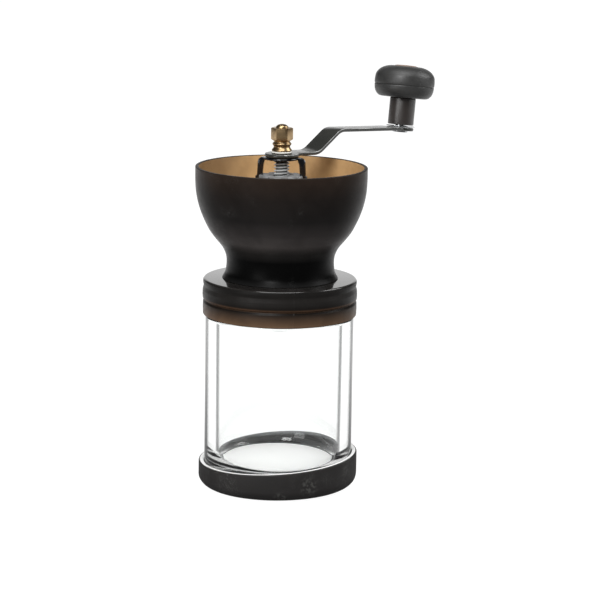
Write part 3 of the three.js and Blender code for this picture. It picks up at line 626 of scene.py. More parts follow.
class NodeSheet:
    """Node tree of a material or a world, with short calls for what their nodes share."""

    def __init__(self, tree: bpy.types.NodeTree, space: str = "Object") -> None:
        """Clears a tree and adds its coordinates.

        Args:
            tree: The node tree.
            space: Name of the coordinates that are read.
        """
        self.tree = tree
        tree.nodes.clear()
        self.place = self.add("TexCoord", {}).outputs[space]

    def fill(self, socket: Socket, value: object) -> None:
        """Gives an input its value.

        Args:
            socket: The input.
            value: A value, or the output that it is linked to.
        """
        if isinstance(value, Socket):
            self.tree.links.new(value, socket)
        else:
            socket.default_value = value

    def add(self, kind: str, inputs: dict, **settings: object) -> bpy.types.Node:
        """Adds a node.

        Args:
            kind: Its type, without the word ShaderNode.
            inputs: Values or sockets for its inputs, by name or number.
            settings: Values for its other properties.

        Returns:
            The node.
        """
        node = self.tree.nodes.new("ShaderNode" + kind)
        for key, value in settings.items():
            setattr(node, key, value)
        for key, value in inputs.items():
            self.fill(node.inputs[key], value)
        return node

    def noise(self, size: float, detail: float = 3.0, stretch: Triple = (1.0, 1.0, 1.0)) -> Socket:
        """Adds noise on the object's own coordinates.

        Args:
            size: Size of its patches in millimetres.
            detail: Octaves.
            stretch: How closely the patches follow each other along X, Y and Z.

        Returns:
            Its value, from 0 to 1.
        """
        spot = self.add("Mapping", {"Vector": self.place, "Scale": stretch})
        inputs = {"Vector": spot.outputs[0], "Scale": 1 / (size * MM), "Detail": detail}
        return self.add("TexNoise", inputs).outputs[0]

    def between(
        self, value: Socket, low: float, high: float, to: tuple[float, float] = (0.0, 1.0)
    ) -> Socket:
        """Maps a range of a value to another range, smoothly and clamped.

        Args:
            value: The value.
            low: Its lower end.
            high: Its upper end.
            to: The new range.

        Returns:
            The mapped value's socket.
        """
        inputs = {"Value": value, "From Min": low, "From Max": high, "To Min": to[0], "To Max": to[1]}
        return self.add("MapRange", inputs, interpolation_type="SMOOTHSTEP").outputs[0]

    def blend(self, share: object, first: object, second: object, how: Blend = Blend.OVER) -> Socket:
        """Mixes two colours.

        Args:
            share: Share of the second one, a number or a socket.
            first: A colour or a socket.
            second: A colour or a socket.
            how: The way to mix them.

        Returns:
            The mixed colour's socket.
        """
        colours = [(*c, 1.0) if isinstance(c, tuple) else c for c in (first, second)]
        inputs = {0: share, 6: colours[0], 7: colours[1]}
        return self.add("Mix", inputs, data_type="RGBA", blend_type=how.value).outputs[2]

    def times(self, first: object, second: object) -> Socket:
        """Multiplies two values."""
        return self.add("Math", {0: first, 1: second}, operation="MULTIPLY").outputs[0]

    def larger(self, first: object, second: object) -> Socket:
        """Gives the larger of two values."""
        return self.add("Math", {0: first, 1: second}, operation="MAXIMUM").outputs[0]

    def along(self, way: Triple) -> Socket:
        """Measures how far a place lies along a direction."""
        return self.add("VectorMath", {0: self.place, 1: way}, operation="DOT_PRODUCT").outputs["Value"]

    def near(self, mark: Mark, core: float) -> Socket:
        """Gives the soft round share of a mark.

        Args:
            mark: The mark.
            core: Share of its radius inside which it is full.

        Returns:
            The share's socket, 1 in the middle and 0 outside.
        """
        centre = tuple(c * MM for c in mark.centre)
        away = self.add("VectorMath", {0: self.place, 1: centre}, operation="DISTANCE").outputs["Value"]
        return self.between(away, core * mark.radius * MM, mark.radius * MM, (1.0, 0.0))

    def height(self) -> Socket:
        """Gives the height above the table in metres."""
        return self.add("SeparateXYZ", {0: self.place}).outputs[2]

    def bump(self, height: Socket, depth: float) -> Socket:
        """Turns a value into a relief.

        Args:
            height: The value.
            depth: Depth of the relief in millimetres.

        Returns:
            The bent normal's socket.
        """
        return self.add("Bump", {"Height": height, "Distance": depth * MM, "Strength": 1.0}).outputs[0]


class SurfaceSheet(NodeSheet):
    """Node tree of a material with one main shader."""

    def __init__(self, name: str) -> None:
        """Starts the material.

        Args:
            name: Name of the material.
        """
        self.material = bpy.data.materials.new(name)
        self.material.use_nodes = True
        super().__init__(self.material.node_tree)
        self.shader = self.add("BsdfPrincipled", {})
        self.add("OutputMaterial", {"Surface": self.shader.outputs[0]})

    def set(self, **values: object) -> None:
        """Gives the main shader its values.

        Args:
            values: Values or sockets by the input's name, with its spaces left out.
        """
        sockets = {socket.name.replace(" ", ""): socket for socket in self.shader.inputs}
        for key, value in values.items():
            self.fill(sockets[key], value)


@dataclass(frozen=True)
class Finish:
    """A named surface."""

    name: str

    def material(self) -> bpy.types.Material:
        """Gives the finish's material, which is built on first use."""
        kept = f"{self.name}_finish"
        return bpy.data.materials.get(kept) or self.build(SurfaceSheet(kept))

    def build(self, sheet: SurfaceSheet) -> bpy.types.Material:
        """Fills a new material's node tree.

        Args:
            sheet: The node tree.

        Returns:
            The material.
        """
        raise NotImplementedError


@dataclass(frozen=True)
class Moulded(Finish):
    """Plastic, rubber, paint or ceramic with a fine grain."""

    colour: Colour
    clouds: Colour
    roughness: tuple[float, float]
    grain: float = 0.35
    relief: float = 0.004
    specular: float = 0.5
    fade: tuple[tuple[float, Colour], ...] = ()
    dust: float = 0.0
    dust_colour: Colour = (0.30, 0.31, 0.30)
    cloud_size: float = 14.0
    wear: float = 0.0
    worn_colour: Colour = (0.22, 0.21, 0.2)
    glow: float = 0.0
    coat: float = 0.0
    speck: tuple[float, float] = (0.45, 0.56)
    scuffs: tuple[Mark, ...] = ()
    scuff_colour: Colour = (0.085, 0.085, 0.08)
    stains: tuple[Mark, ...] = ()
    painted_shade_colour: Colour = (0.10, 0.055, 0.026)

    def build(self, sheet: SurfaceSheet) -> bpy.types.Material:
        """Lays dust, wear, scuffs and patches of painted shade over a clouded colour, or over a colour that
        fades with height, with a fine grain.

        Args:
            sheet: The node tree.

        Returns:
            The material.
        """
        clouds = sheet.between(sheet.noise(self.cloud_size), 0.35, 0.65)
        colour = self.faded(sheet, clouds) if self.fade else sheet.blend(clouds, self.colour, self.clouds)
        rough = sheet.between(sheet.noise(3.5, 4), 0.3, 0.7, self.roughness)
        if self.dust:
            share = self.dusty(sheet)
            colour = sheet.blend(sheet.times(share, self.dust), colour, self.dust_colour)
            rough = sheet.add("Math", {0: rough, 1: sheet.times(share, 0.3)}, operation="ADD").outputs[0]
        if self.wear:
            colour = sheet.blend(self.worn(sheet), colour, self.worn_colour)
        for mark in self.scuffs:
            rubbed = sheet.times(sheet.near(mark, 0.3), sheet.between(sheet.noise(1.6, 4), 0.42, 0.62))
            colour = sheet.blend(sheet.times(rubbed, mark.depth), colour, self.scuff_colour)
        # Each patch is painted shade: the colour darkens softly round its centre.
        for mark in self.stains:
            colour = sheet.blend(sheet.times(sheet.near(mark, 0.25), mark.depth), colour, self.painted_shade_colour)
        sheet.set(
            BaseColor=colour,
            Roughness=rough,
            SpecularIORLevel=self.specular,
            EmissionStrength=self.glow,
            CoatWeight=self.coat,
            Normal=sheet.bump(sheet.noise(self.grain, 2), self.relief),
        )
        return sheet.material

    def faded(self, sheet: SurfaceSheet, clouds: Socket) -> Socket:
        """Colours a piece by its height, a little darker in the clouds; the height colours carry painted
        light and shade.

        Args:
            sheet: The node tree.
            clouds: Share of the clouds.

        Returns:
            The colour's socket.
        """
        low, high = self.fade[0][0], self.fade[-1][0]
        rise = sheet.add("MapRange", {0: sheet.height(), 1: low * MM, 2: high * MM}).outputs[0]
        ramp = sheet.add("ValToRGB", {0: rise})
        stops = ramp.color_ramp.elements
        for k, (z, shade) in enumerate(self.fade):
            spot = (z - low) / (high - low)
            stop = stops[0] if k == 0 else stops[-1] if k == len(self.fade) - 1 else stops.new(spot)
            stop.position = spot
            stop.color = (*shade, 1.0)
        shadow = sheet.blend(clouds, (1.0, 1.0, 1.0), (0.8, 0.8, 0.8))
        return sheet.blend(1.0, ramp.outputs[0], shadow, Blend.MULTIPLY)

    def dusty(self, sheet: SurfaceSheet) -> Socket:
        """Gives the share of fine specks that gather in patches.

        Args:
            sheet: The node tree.

        Returns:
            The share's socket.
        """
        size, level = self.speck
        specks = sheet.between(sheet.noise(size, 2), level, level + 0.08)
        where = sheet.between(sheet.noise(16.0, 2), 0.62 - 0.3 * self.dust, 0.85 - 0.3 * self.dust)
        return sheet.times(specks, where)

    def worn(self, sheet: SurfaceSheet) -> Socket:
        """Gives the share of the edges that use has rubbed bare.

        Args:
            sheet: The node tree.

        Returns:
            The share's socket.
        """
        edge = sheet.add("NewGeometry", {}).outputs["Pointiness"]
        rim = sheet.between(edge, 0.52, 0.60, (0.0, self.wear))
        return sheet.times(rim, sheet.between(sheet.noise(2.0, 4), 0.35, 0.6))


@dataclass(frozen=True)
class Machined(Finish):
    """Bare metal with the fine lines of a lathe round Z."""

    colour: Colour
    tarnish: Colour
    roughness: tuple[float, float]
    lines: float = 0.25
    relief: float = 0.003

    def build(self, sheet: SurfaceSheet) -> bpy.types.Material:
        """Mixes tarnish into the metal, and lays turning lines over it.

        Args:
            sheet: The node tree.

        Returns:
            The material.
        """
        lines = sheet.noise(self.lines, 2, (0.02, 0.02, 1.0))
        patches = sheet.between(sheet.noise(4.0, 4), 0.4, 0.7)
        sheet.set(
            BaseColor=sheet.blend(patches, self.colour, self.tarnish),
            Metallic=1.0,
            Roughness=sheet.between(lines, 0.3, 0.7, self.roughness),
            Normal=sheet.bump(lines, self.relief),
        )
        return sheet.material


@dataclass(frozen=True)
class PressedGlass(Finish):
    """Clear pressed glass, darker at the facings where a thick wall shows a line: partly the wall's own tint,
    partly painted shade for the dark lines that refraction shows there.
    """

    edge: Colour
    rim: tuple[float, float]
    band: tuple[float, float] = (2.0, 3.0)
    shine: float = 0.04
    clear: Colour = (0.985, 0.995, 0.99)

    def build(self, sheet: SurfaceSheet) -> bpy.types.Material:
        """Tints clear glass by its facing as painted shade, in its rim from the air and in its band from
        within the wall.

        Args:
            sheet: The node tree.

        Returns:
            The material.
        """
        facing = sheet.add("LayerWeight", {"Blend": 0.5}).outputs["Facing"]
        within = sheet.add("NewGeometry", {}).outputs["Backfacing"]
        outside = sheet.add("Math", {0: 1.0, 1: within}, operation="SUBTRACT").outputs[0]
        inner = sheet.times(sheet.between(facing, *self.band), within)
        outer = sheet.times(sheet.between(facing, *self.rim), outside)
        sheet.set(
            BaseColor=sheet.blend(sheet.larger(outer, inner), self.clear, self.edge),
            TransmissionWeight=1.0,
            Roughness=0.0,
            IOR=1.5,
            SpecularIORLevel=self.shine,
        )
        return sheet.material


# Hopper outside. Its height fade carries painted light: the lighter band from about 133 to 144 mm stands in
# for the white floor reflected in the downturned bowl. Below it the neck is darker, and the colour turns
# browner towards the rim.
SMOKE = Moulded(
    "smoke_shell", (0.012, 0.010, 0.009), (0.016, 0.012, 0.010), (0.3, 0.36), specular=0.05, dust=0.2,
    fade=(
        (115.0, (0.012, 0.012, 0.012)), (118.5, (0.0025, 0.0025, 0.0025)), (128.0, (0.0025, 0.0025, 0.0025)),
        (133.0, (0.026, 0.024, 0.023)), (138.0, (0.090, 0.080, 0.077)), (144.0, (0.044, 0.039, 0.038)),
        (152.0, (0.017, 0.0155, 0.015)), (164.0, (0.015, 0.0122, 0.011)), (176.2, (0.028, 0.019, 0.0145)),
    ),
)
# Hopper inside: the amber stands in for light shining through the smoke wall from behind, painted light on
# the plastic's brown, and the soft dark patch on one side is painted shade.
SMOKE_BACKLIT_INSIDE = Moulded(
    "smoke_backlit_inside", (0.60, 0.385, 0.185), (0.48, 0.30, 0.14), (0.35, 0.45), specular=0.3, dust=0.4,
    dust_colour=(0.16, 0.085, 0.04), stains=(Mark((-12.0, 43.0, 172.0), 42.0, 0.65),),
)
SMOKE_RIM = Moulded("smoke_rim", (0.016, 0.012, 0.010), (0.020, 0.015, 0.012), (0.42, 0.5), specular=0.12)
SMOKE_LEDGE = Moulded(
    "smoke_ledge", (0.012, 0.011, 0.010), (0.02, 0.018, 0.017), (0.08, 0.13), relief=0.001, specular=0.8,
    coat=0.2,
)
# Collar. Its height fade is painted light and shade: the lighter brown lower band and the orange line at
# 104.4 mm stand in for light shining through the thin plastic, and the near-black stop at 103.2 mm is painted
# shade in the sharp groove.
SMOKE_COLLAR = Moulded(
    "smoke_collar", (0.012, 0.010, 0.009), (0.016, 0.012, 0.010), (0.34, 0.42), specular=0.1, dust=0.1,
    fade=(
        (95.4, (0.160, 0.098, 0.058)), (97.5, (0.110, 0.067, 0.041)), (101.2, (0.040, 0.026, 0.018)),
        (103.2, (0.006, 0.0055, 0.005)), (104.4, (0.085, 0.046, 0.026)), (105.6, (0.010, 0.0085, 0.0075)),
        (108.0, (0.017, 0.0155, 0.0145)), (111.5, (0.015, 0.0135, 0.0125)), (116.9, (0.009, 0.0085, 0.008)),
    ),
)
RUBBER = Moulded(
    "base_rubber", (0.021, 0.0195, 0.0192), (0.026, 0.024, 0.0235), (0.5, 0.62), grain=0.25, relief=0.008,
    specular=0.25, dust=0.6, dust_colour=(0.13, 0.13, 0.125),
    scuffs=(Mark((-19.4, -38.9, 9.0), 7.0), Mark((-31.6, -29.3, 2.5), 5.0), Mark((6.0, -43.0, 13.0), 4.0)),
)
# Inside of the base ring: the near-black base is painted shade for the recess round the jar's foot; the
# blue-grey specks are dust.
RUBBER_SHADED_INSIDE = Moulded(
    "base_rubber_shaded_inside", (0.003, 0.0055, 0.007), (0.006, 0.011, 0.013), (0.55, 0.7), grain=0.5, relief=0.02,
    specular=0.2, dust=0.9, dust_colour=(0.55, 0.64, 0.68), speck=(1.1, 0.60),
)
# Painted highlight: the near-white stands in for the light that the rim's inner edge reflects.
RUBBER_PAINTED_HIGHLIGHT = Moulded("base_rubber_painted_highlight", (0.95, 0.95, 0.94), (0.85, 0.85, 0.84), (0.3, 0.4), specular=0.6)
# The facing tints of the jar's glass are painted shade for the dark lines of its thick walls.
GLASS = PressedGlass("jar_glass", (0.004, 0.005, 0.005), (0.64, 0.76))
GLASS_BORE = PressedGlass("jar_glass_bore", (0.004, 0.005, 0.005), (0.80, 0.94), (0.215, 0.236))
# Painted shade: seen from within, the foot's outer wall inside the base ring is always dark, for the shade in
# the ring.
GLASS_SHADED_FOOT = PressedGlass("jar_glass_shaded_foot", (0.02, 0.022, 0.023), (0.64, 0.76), (-2.0, -1.0))
# Painted light: the jar's floor is an opaque white disc that glows, standing in for the lit table seen
# through the clear glass.
GLASS_GLOWING_FLOOR = Moulded("jar_glowing_floor", (0.97, 0.97, 0.96), (0.93, 0.93, 0.92), (0.3, 0.4), glow=0.3)
# Painted shade: a thin dark ring round the floor disc, for the line that the glass shows there.
GLASS_SHADE_LINE = Moulded("jar_floor_shade_line", (0.07, 0.075, 0.075), (0.16, 0.165, 0.165), (0.3, 0.4))
SEAL = Moulded("seal_silicone", (0.55, 0.53, 0.48), (0.50, 0.48, 0.43), (0.5, 0.6))
BLACK = Moulded("tower_black", (0.014, 0.013, 0.013), (0.018, 0.017, 0.016), (0.32, 0.42), specular=0.4)
NYLON = Moulded(
    "white_nylon", (0.74, 0.72, 0.67), (0.68, 0.66, 0.60), (0.35, 0.45), dust=0.1,
    dust_colour=(0.35, 0.30, 0.24),
)
CERAMIC = Moulded(
    "burr_ceramic", (0.74, 0.71, 0.64), (0.66, 0.62, 0.54), (0.35, 0.5), grain=0.6, relief=0.012, dust=0.35,
    dust_colour=(0.22, 0.14, 0.08),
)
GREY = Moulded(
    "nut_grey", (0.17, 0.175, 0.18), (0.21, 0.215, 0.22), (0.4, 0.5), dust=0.25,
    dust_colour=(0.06, 0.06, 0.06), cloud_size=5.0,
)
GLOSS = Moulded(
    "gloss_black", (0.003, 0.0035, 0.005), (0.006, 0.0065, 0.008), (0.05, 0.09), relief=0.001, specular=0.7,
)
# Painted highlight: the light grey stands in for the light that the rounding of the arm's upper edge
# reflects.
ARM_PAINTED_HIGHLIGHT = Moulded(
    "arm_painted_highlight", (0.55, 0.56, 0.55), (0.22, 0.22, 0.22), (0.15, 0.25), specular=0.8, cloud_size=9.0,
)
ARM_PAINT = Moulded(
    "arm_paint", (0.022, 0.023, 0.021), (0.029, 0.029, 0.026), (0.18, 0.26), grain=0.2, relief=0.002,
    specular=0.6, dust=0.06, wear=0.15,
)
STEM_BLACK = Moulded("stem_black", (0.024, 0.018, 0.016), (0.032, 0.025, 0.022), (0.32, 0.38), specular=1.0)
SOFT_TOUCH = Moulded(
    "soft_touch", (0.026, 0.026, 0.0255), (0.030, 0.030, 0.0295), (0.40, 0.48), grain=0.18, relief=0.005,
    specular=0.6, dust=0.25,
)
PLUG = Moulded("plug_brown", (0.20, 0.135, 0.105), (0.24, 0.17, 0.13), (0.4, 0.5), cloud_size=3.0)
# Painted highlight on the adjusting thread's crests and upward flanks, and painted shade in its roots.
THREAD_PAINTED_HIGHLIGHT = Moulded("thread_painted_highlight", (0.62, 0.64, 0.64), (0.36, 0.37, 0.37), (0.12, 0.2), specular=1.0)
THREAD_PAINTED_SHADE = Machined("thread_painted_shade", (0.035, 0.033, 0.031), (0.02, 0.02, 0.02), (0.2, 0.3))
STEEL = Machined("bright_steel", (0.60, 0.61, 0.62), (0.45, 0.46, 0.47), (0.12, 0.22))
BRASS = Machined("satin_brass", (0.46, 0.325, 0.175), (0.33, 0.225, 0.12), (0.27, 0.34))


# Base ring and jar


@dataclass
class BaseRing:
    """Rubber ring that the jar's foot stands in. Its rim is pulled up a little on one side."""

    bore: float = 31.3
    inner: float = 40.7
    outer: float = 43.5
    height: float = 16.5
    lip: float = 3.0
    heel: float = 8.5
    pull: float = 0.0737
    tip: float = 0.012
    pull_side: tuple[float, float] = (0.740, -0.672)
    bright_edge: float = 2.0

    def build(self) -> None:
        """Makes the ring."""
        ring = turned(
            "base_ring",
            [
                (self.bore, 0.0, 0.4),
                (self.outer, 0.0, self.heel),
                (self.outer, self.height, 0.9),
                (self.inner, self.height, 0.7),
                (self.inner, self.lip, 2.4),
                (self.bore, self.lip, 0.4),
            ],
            Facets.WIDE,
        )
        shape_each(ring, self.skewed)
        dress(ring, RUBBER, RUBBER_SHADED_INSIDE, RUBBER_PAINTED_HIGHLIGHT)
        # The inner wall above the lip takes the painted shade.
        paint(ring, 1, lambda at, normal: at.z > self.lip and faces_in(at, normal))
        # The rim's inner edge takes the painted highlight.
        paint(ring, 2, self.is_bright)
        hand_over(ring, "base_boot", "jar")

    def is_bright(self, at: Vector, normal: Vector) -> bool:
        """Tells whether a face belongs to the painted highlight along the inner edge of the rim."""
        return at.z > self.height / 2 and normal.z > 0.35 and at.xy.length < self.inner + self.bright_edge

    def skewed(self, at: Vector) -> Vector:
        """Raises or lowers a point of the wall by its share of the height.

        Args:
            at: The point.

        Returns:
            Its new place.
        """
        share = max(0.0, at.z - self.lip) / (self.height - self.lip)
        side = at.x * self.pull_side[0] + at.y * self.pull_side[1]
        lift = share * self.pull * side + (1 - share) * self.tip * (self.outer + side)
        return Vector((at.x, at.y, at.z + lift))


@dataclass
class Thread:
    """A ridge that winds up round a neck or inside a skirt and runs out at both ends."""

    root: float
    crest: float
    low: float
    pitch: float = 4.0
    turns: float = 1.5
    base: float = 1.8
    top: float = 1.0
    steps: int = 72
    fade_degrees: float = 40.0
    stub: float = 0.4

    def build(self, name: str) -> Piece:
        """Makes the ridge.

        Args:
            name: Name of the new object.

        Returns:
            The closed ridge.
        """
        return wrapped(name, self.spans(), 4, self.corner)

    def spans(self) -> int:
        """Gives the number of spans from end to end."""
        return round(self.turns * self.steps)

    def corner(self, i: int, j: int) -> Vector:
        """Places a corner of the ridge's section, which is lower towards both ends.

        Args:
            i: Number of the section.
            j: Number of the corner, from the root below to the root above.

        Returns:
            Its place.
        """
        fade = self.fade_degrees / 360 * self.steps
        share = min(1.0, (i + self.stub) / fade, (self.spans() - i + self.stub) / fade)
        tip = self.root + (self.crest - self.root) * share
        half = self.top / 2 * share
        radius, rise = ((self.root, -self.base / 2), (tip, -half), (tip, half), (self.root, self.base / 2))[j]
        return on_circle(radius, FULL_TURN * i / self.steps, self.low + self.pitch * i / self.steps + rise)


@dataclass
class Jar:
    """Thick clear jar with a threaded neck, and the seal on its mouth."""

    radius: float = 40.4
    bore: float = 34.4
    foot: float = 31.0
    foot_height: float = 4.2
    floor: float = 13.7
    shoulder: float = 94.8
    neck: float = 36.9
    mouth: float = 32.6
    top: float = 110.0
    ring_line: float = 31.6
    held_mark: float = 19.0
    ring_shadow: float = 2.0
    thread_rise: float = 3.2
    fillet: tuple[tuple[float, float], ...] = ((0.3, 5.6), (0.9, 3.4), (1.7, 1.9))
    disc_edge: tuple[tuple[float, float], ...] = ((0.35, 0.85), (-0.35, 0.45), (-1.2, 0.12), (-2.2, 0.0))
    seal_bore: float = 33.0
    seal_gap: float = 0.3
    seal_thickness: float = 2.0

    def build(self) -> None:
        """Makes the jar and its seal."""
        jar = turned(
            "jar",
            [
                (0.0, 0.0),
                (self.foot, 0.0, 0.8),
                (self.foot, self.foot_height, 0.3),
                (self.radius, self.foot_height, 3.0),
                (self.radius, self.held_mark),
                (self.radius, self.shoulder, 1.2),
                (self.neck, self.shoulder + 1.5, 1.2),
                (self.neck, self.top, 1.6),
                (self.mouth, self.top, 1.6),
                (self.mouth, self.shoulder + 2.0, 3.0),
                (self.bore, self.shoulder - 1.5, 3.0),
                (self.bore, self.floor + 8.5, 1.0),
                *((self.bore - inwards, self.floor + up) for inwards, up in self.fillet),
                *((self.ring_line + outwards, self.floor + up) for outwards, up in self.disc_edge),
                (0.0, self.floor),
            ],
            Facets.WIDE,
        )
        shape_each(jar, self.slanted)
        thread = Thread(self.neck - 0.5, self.neck + 1.2, self.shoulder + self.thread_rise)
        combine(jar, thread.build("jar_thread"), Join.ADD)
        dress(jar, GLASS, GLASS_BORE, GLASS_GLOWING_FLOOR, GLASS_SHADE_LINE, GLASS_SHADED_FOOT)
        # The bore's band draws the inner wall's lines as painted shade.
        paint(jar, 1, self.is_bore)
        # The floor disc takes the glowing white of painted light.
        paint(jar, 2, lambda at, normal: -0.1 < at.z - self.floor < 1.6 and at.xy.length < self.ring_line)
        # A thin ring round it takes the painted shade of the floor's line.
        paint(jar, 3, self.is_disc_line)
        # The foot's outer wall inside the base ring takes the painted shade.
        paint(jar, 4, lambda at, normal: at.xy.length > self.bore and at.z < self.held_mark)
        hand_over(jar, "glass_jar", "jar")
        seal_low = self.top + self.seal_gap
        seal = tube("seal", self.seal_bore, self.neck, seal_low, seal_low + self.seal_thickness, 0.5)
        dress(seal, SEAL)
        hand_over(seal, "seal_ring", "seal")

    def is_bore(self, at: Vector, normal: Vector) -> bool:
        """Tells whether a face belongs to the straight inside of the wall."""
        return self.floor + 9 < at.z < self.shoulder - 6 and faces_in(at, normal)

    def is_disc_line(self, at: Vector, normal: Vector) -> bool:
        """Tells whether a face belongs to the thin line of painted shade round the glowing floor."""
        return 0.4 < at.z - self.floor < 1.0 and abs(at.xy.length - self.ring_line) < 0.25

    def slanted(self, at: Vector) -> Vector:
        """Tilts the loop of the outer wall up to which the glass takes its painted shade of the dark base
        ring.

        Args:
            at: A point of the jar.

        Returns:
            Its new place, which is the old one off that loop.
        """
        if abs(at.z - self.held_mark) > 0.01:
            return at
        ring = BaseRing()
        rim = ring.skewed(Vector((at.x, at.y, ring.height)))
        return Vector((at.x, at.y, rim.z + self.ring_shadow))


# Collar and hopper


@dataclass
class Collar:
    """Screw collar in smoke-brown plastic with a soft and a sharp groove."""

    hole: float = 17.5
    bore: float = 39.3
    plate: float = 112.6
    skirt: float = 95.4
    skirt_radius: float = 41.75
    top: float = 115.3
    top_radius: float = 41.6
    boss: float = 28.6
    boss_top: float = 116.9
    thread_low: float = 100.0
    seam_degrees: float = -129.0
    seam_width: float = 0.7
    seam_height: float = 0.12
    grooves: tuple[Corner, ...] = (
        (41.9, 99.4, 3.0), (41.8, 102.4, 0.8), (41.05, 103.9, 0.3), (41.95, 104.5, 0.3), (42.08, 106.4, 3.0),
        (42.0, 108.9, 2.5), (41.4, 111.3, 1.6), (41.8, 113.0, 1.5),
    )

    def build(self) -> None:
        """Makes the collar with its thread, its screw holes and its moulding seam."""
        collar = turned(
            "collar",
            [
                (self.hole, self.plate, 0.3),
                (self.bore, self.plate, 1.0),
                (self.bore, self.skirt, 0.4),
                (self.skirt_radius, self.skirt, 0.7),
                *self.grooves,
                (self.top_radius, self.top, 1.7),
                (self.boss, self.top, 0.3),
                (self.boss, self.boss_top, 0.4),
                (self.hole, self.boss_top, 0.3),
            ],
            Facets.WIDE,
        )
        self.add_seam(collar)
        thread = Thread(self.bore + 0.5, self.bore - 1.7, self.thread_low)
        combine(collar, thread.build("collar_thread"), Join.ADD)
        SCREWS.drill(collar, self.plate, self.boss_top)
        # The collar's sides take the height fade with its painted light and shade.
        dress(collar, SMOKE_COLLAR, SMOKE_LEDGE)
        paint(collar, 1, self.is_ledge)
        hand_over(collar, "screw_collar", "head")

    def is_ledge(self, at: Vector, normal: Vector) -> bool:
        """Tells whether a face belongs to the polished ledge round the hopper."""
        return at.z > self.top - 1.2 and normal.z > 0.55 and at.xy.length > self.boss - 1

    def add_seam(self, collar: Piece) -> None:
        """Raises the fine line that the mould leaves down one side.

        Args:
            collar: The collar.
        """
        edit(collar)
        for offset in (-self.seam_width / 2, 0.0, self.seam_width / 2):
            angle = math.radians(self.seam_degrees + offset)
            bpy.ops.mesh.select_all(action="SELECT")
            bpy.ops.mesh.bisect(plane_co=(0, 0, 0), plane_no=(-math.sin(angle), math.cos(angle), 0))
        bpy.ops.object.mode_set(mode="OBJECT")
        for vertex in collar.data.vertices:
            at, degrees = vertex.co / MM, math.degrees(math.atan2(vertex.co.y, vertex.co.x))
            outside = at.xy.length > self.boss + 1 and (at.z > self.plate + 1 or at.xy.length > self.bore + 1)
            if outside and abs(degrees - self.seam_degrees) < 0.1:
                vertex.co += vertex.normal * self.seam_height * MM


@dataclass
class Hopper:
    """Smoke-brown hopper: waisted neck, soft corner and wide bowl."""

    wall: float = 1.9
    hole: float = 17.5
    foot: float = 117.2
    floor: float = 119.6
    rim: float = 176.2
    edge: float = 0.5
    skirt_bore: float = 28.9
    skirt: float = 115.45
    outside: tuple[tuple[float, float], ...] = (
        (31.4, 115.6), (30.6, 117.0), (29.85, 118.6), (29.4, 120.8), (29.15, 124.3), (29.45, 127.6),
        (30.6, 130.8), (32.3, 133.6), (34.9, 136.7), (37.5, 140.0), (39.45, 143.1), (42.5, 149.5),
        (44.7, 155.9), (46.0, 162.3), (46.45, 168.8), (46.5, 175.7),
    )

    def build(self) -> None:
        """Makes the hopper with a dark outside and an amber inside, whose amber is painted backlight."""
        outer = smooth_line(list(self.outside), 4)
        inner = [p for p in inset_line(outer, self.wall) if p[1] > self.floor + 0.6]
        rim_radius = self.outside[-1][0]
        section = [
            (self.hole, self.foot, 0.3),
            (self.skirt_bore, self.foot, 0.2),
            (self.skirt_bore, self.skirt, 0.1),
            (self.outside[0][0], self.skirt, 0.1),
            *outer,
            (rim_radius, self.rim, self.edge),
            (rim_radius - self.wall, self.rim, self.edge),
            *reversed(inner),
            (inner[0][0], self.floor, 0.5),
            (self.hole, self.floor, 0.3),
        ]
        hopper = turned("hopper_shell", section, Facets.WIDE)
        SCREWS.drill(hopper, self.foot, self.floor)
        dress(hopper, SMOKE, SMOKE_BACKLIT_INSIDE, SMOKE_RIM)
        # The inside takes the amber painted backlight.
        paint(hopper, 1, lambda at, normal: at.z > self.floor - 0.5 and faces_in(at, normal))
        paint(hopper, 2, lambda at, normal: at.z > self.rim - 0.6 and normal.z > 0.3)
        hand_over(hopper, "hopper", "head")


# Bearings and burrs


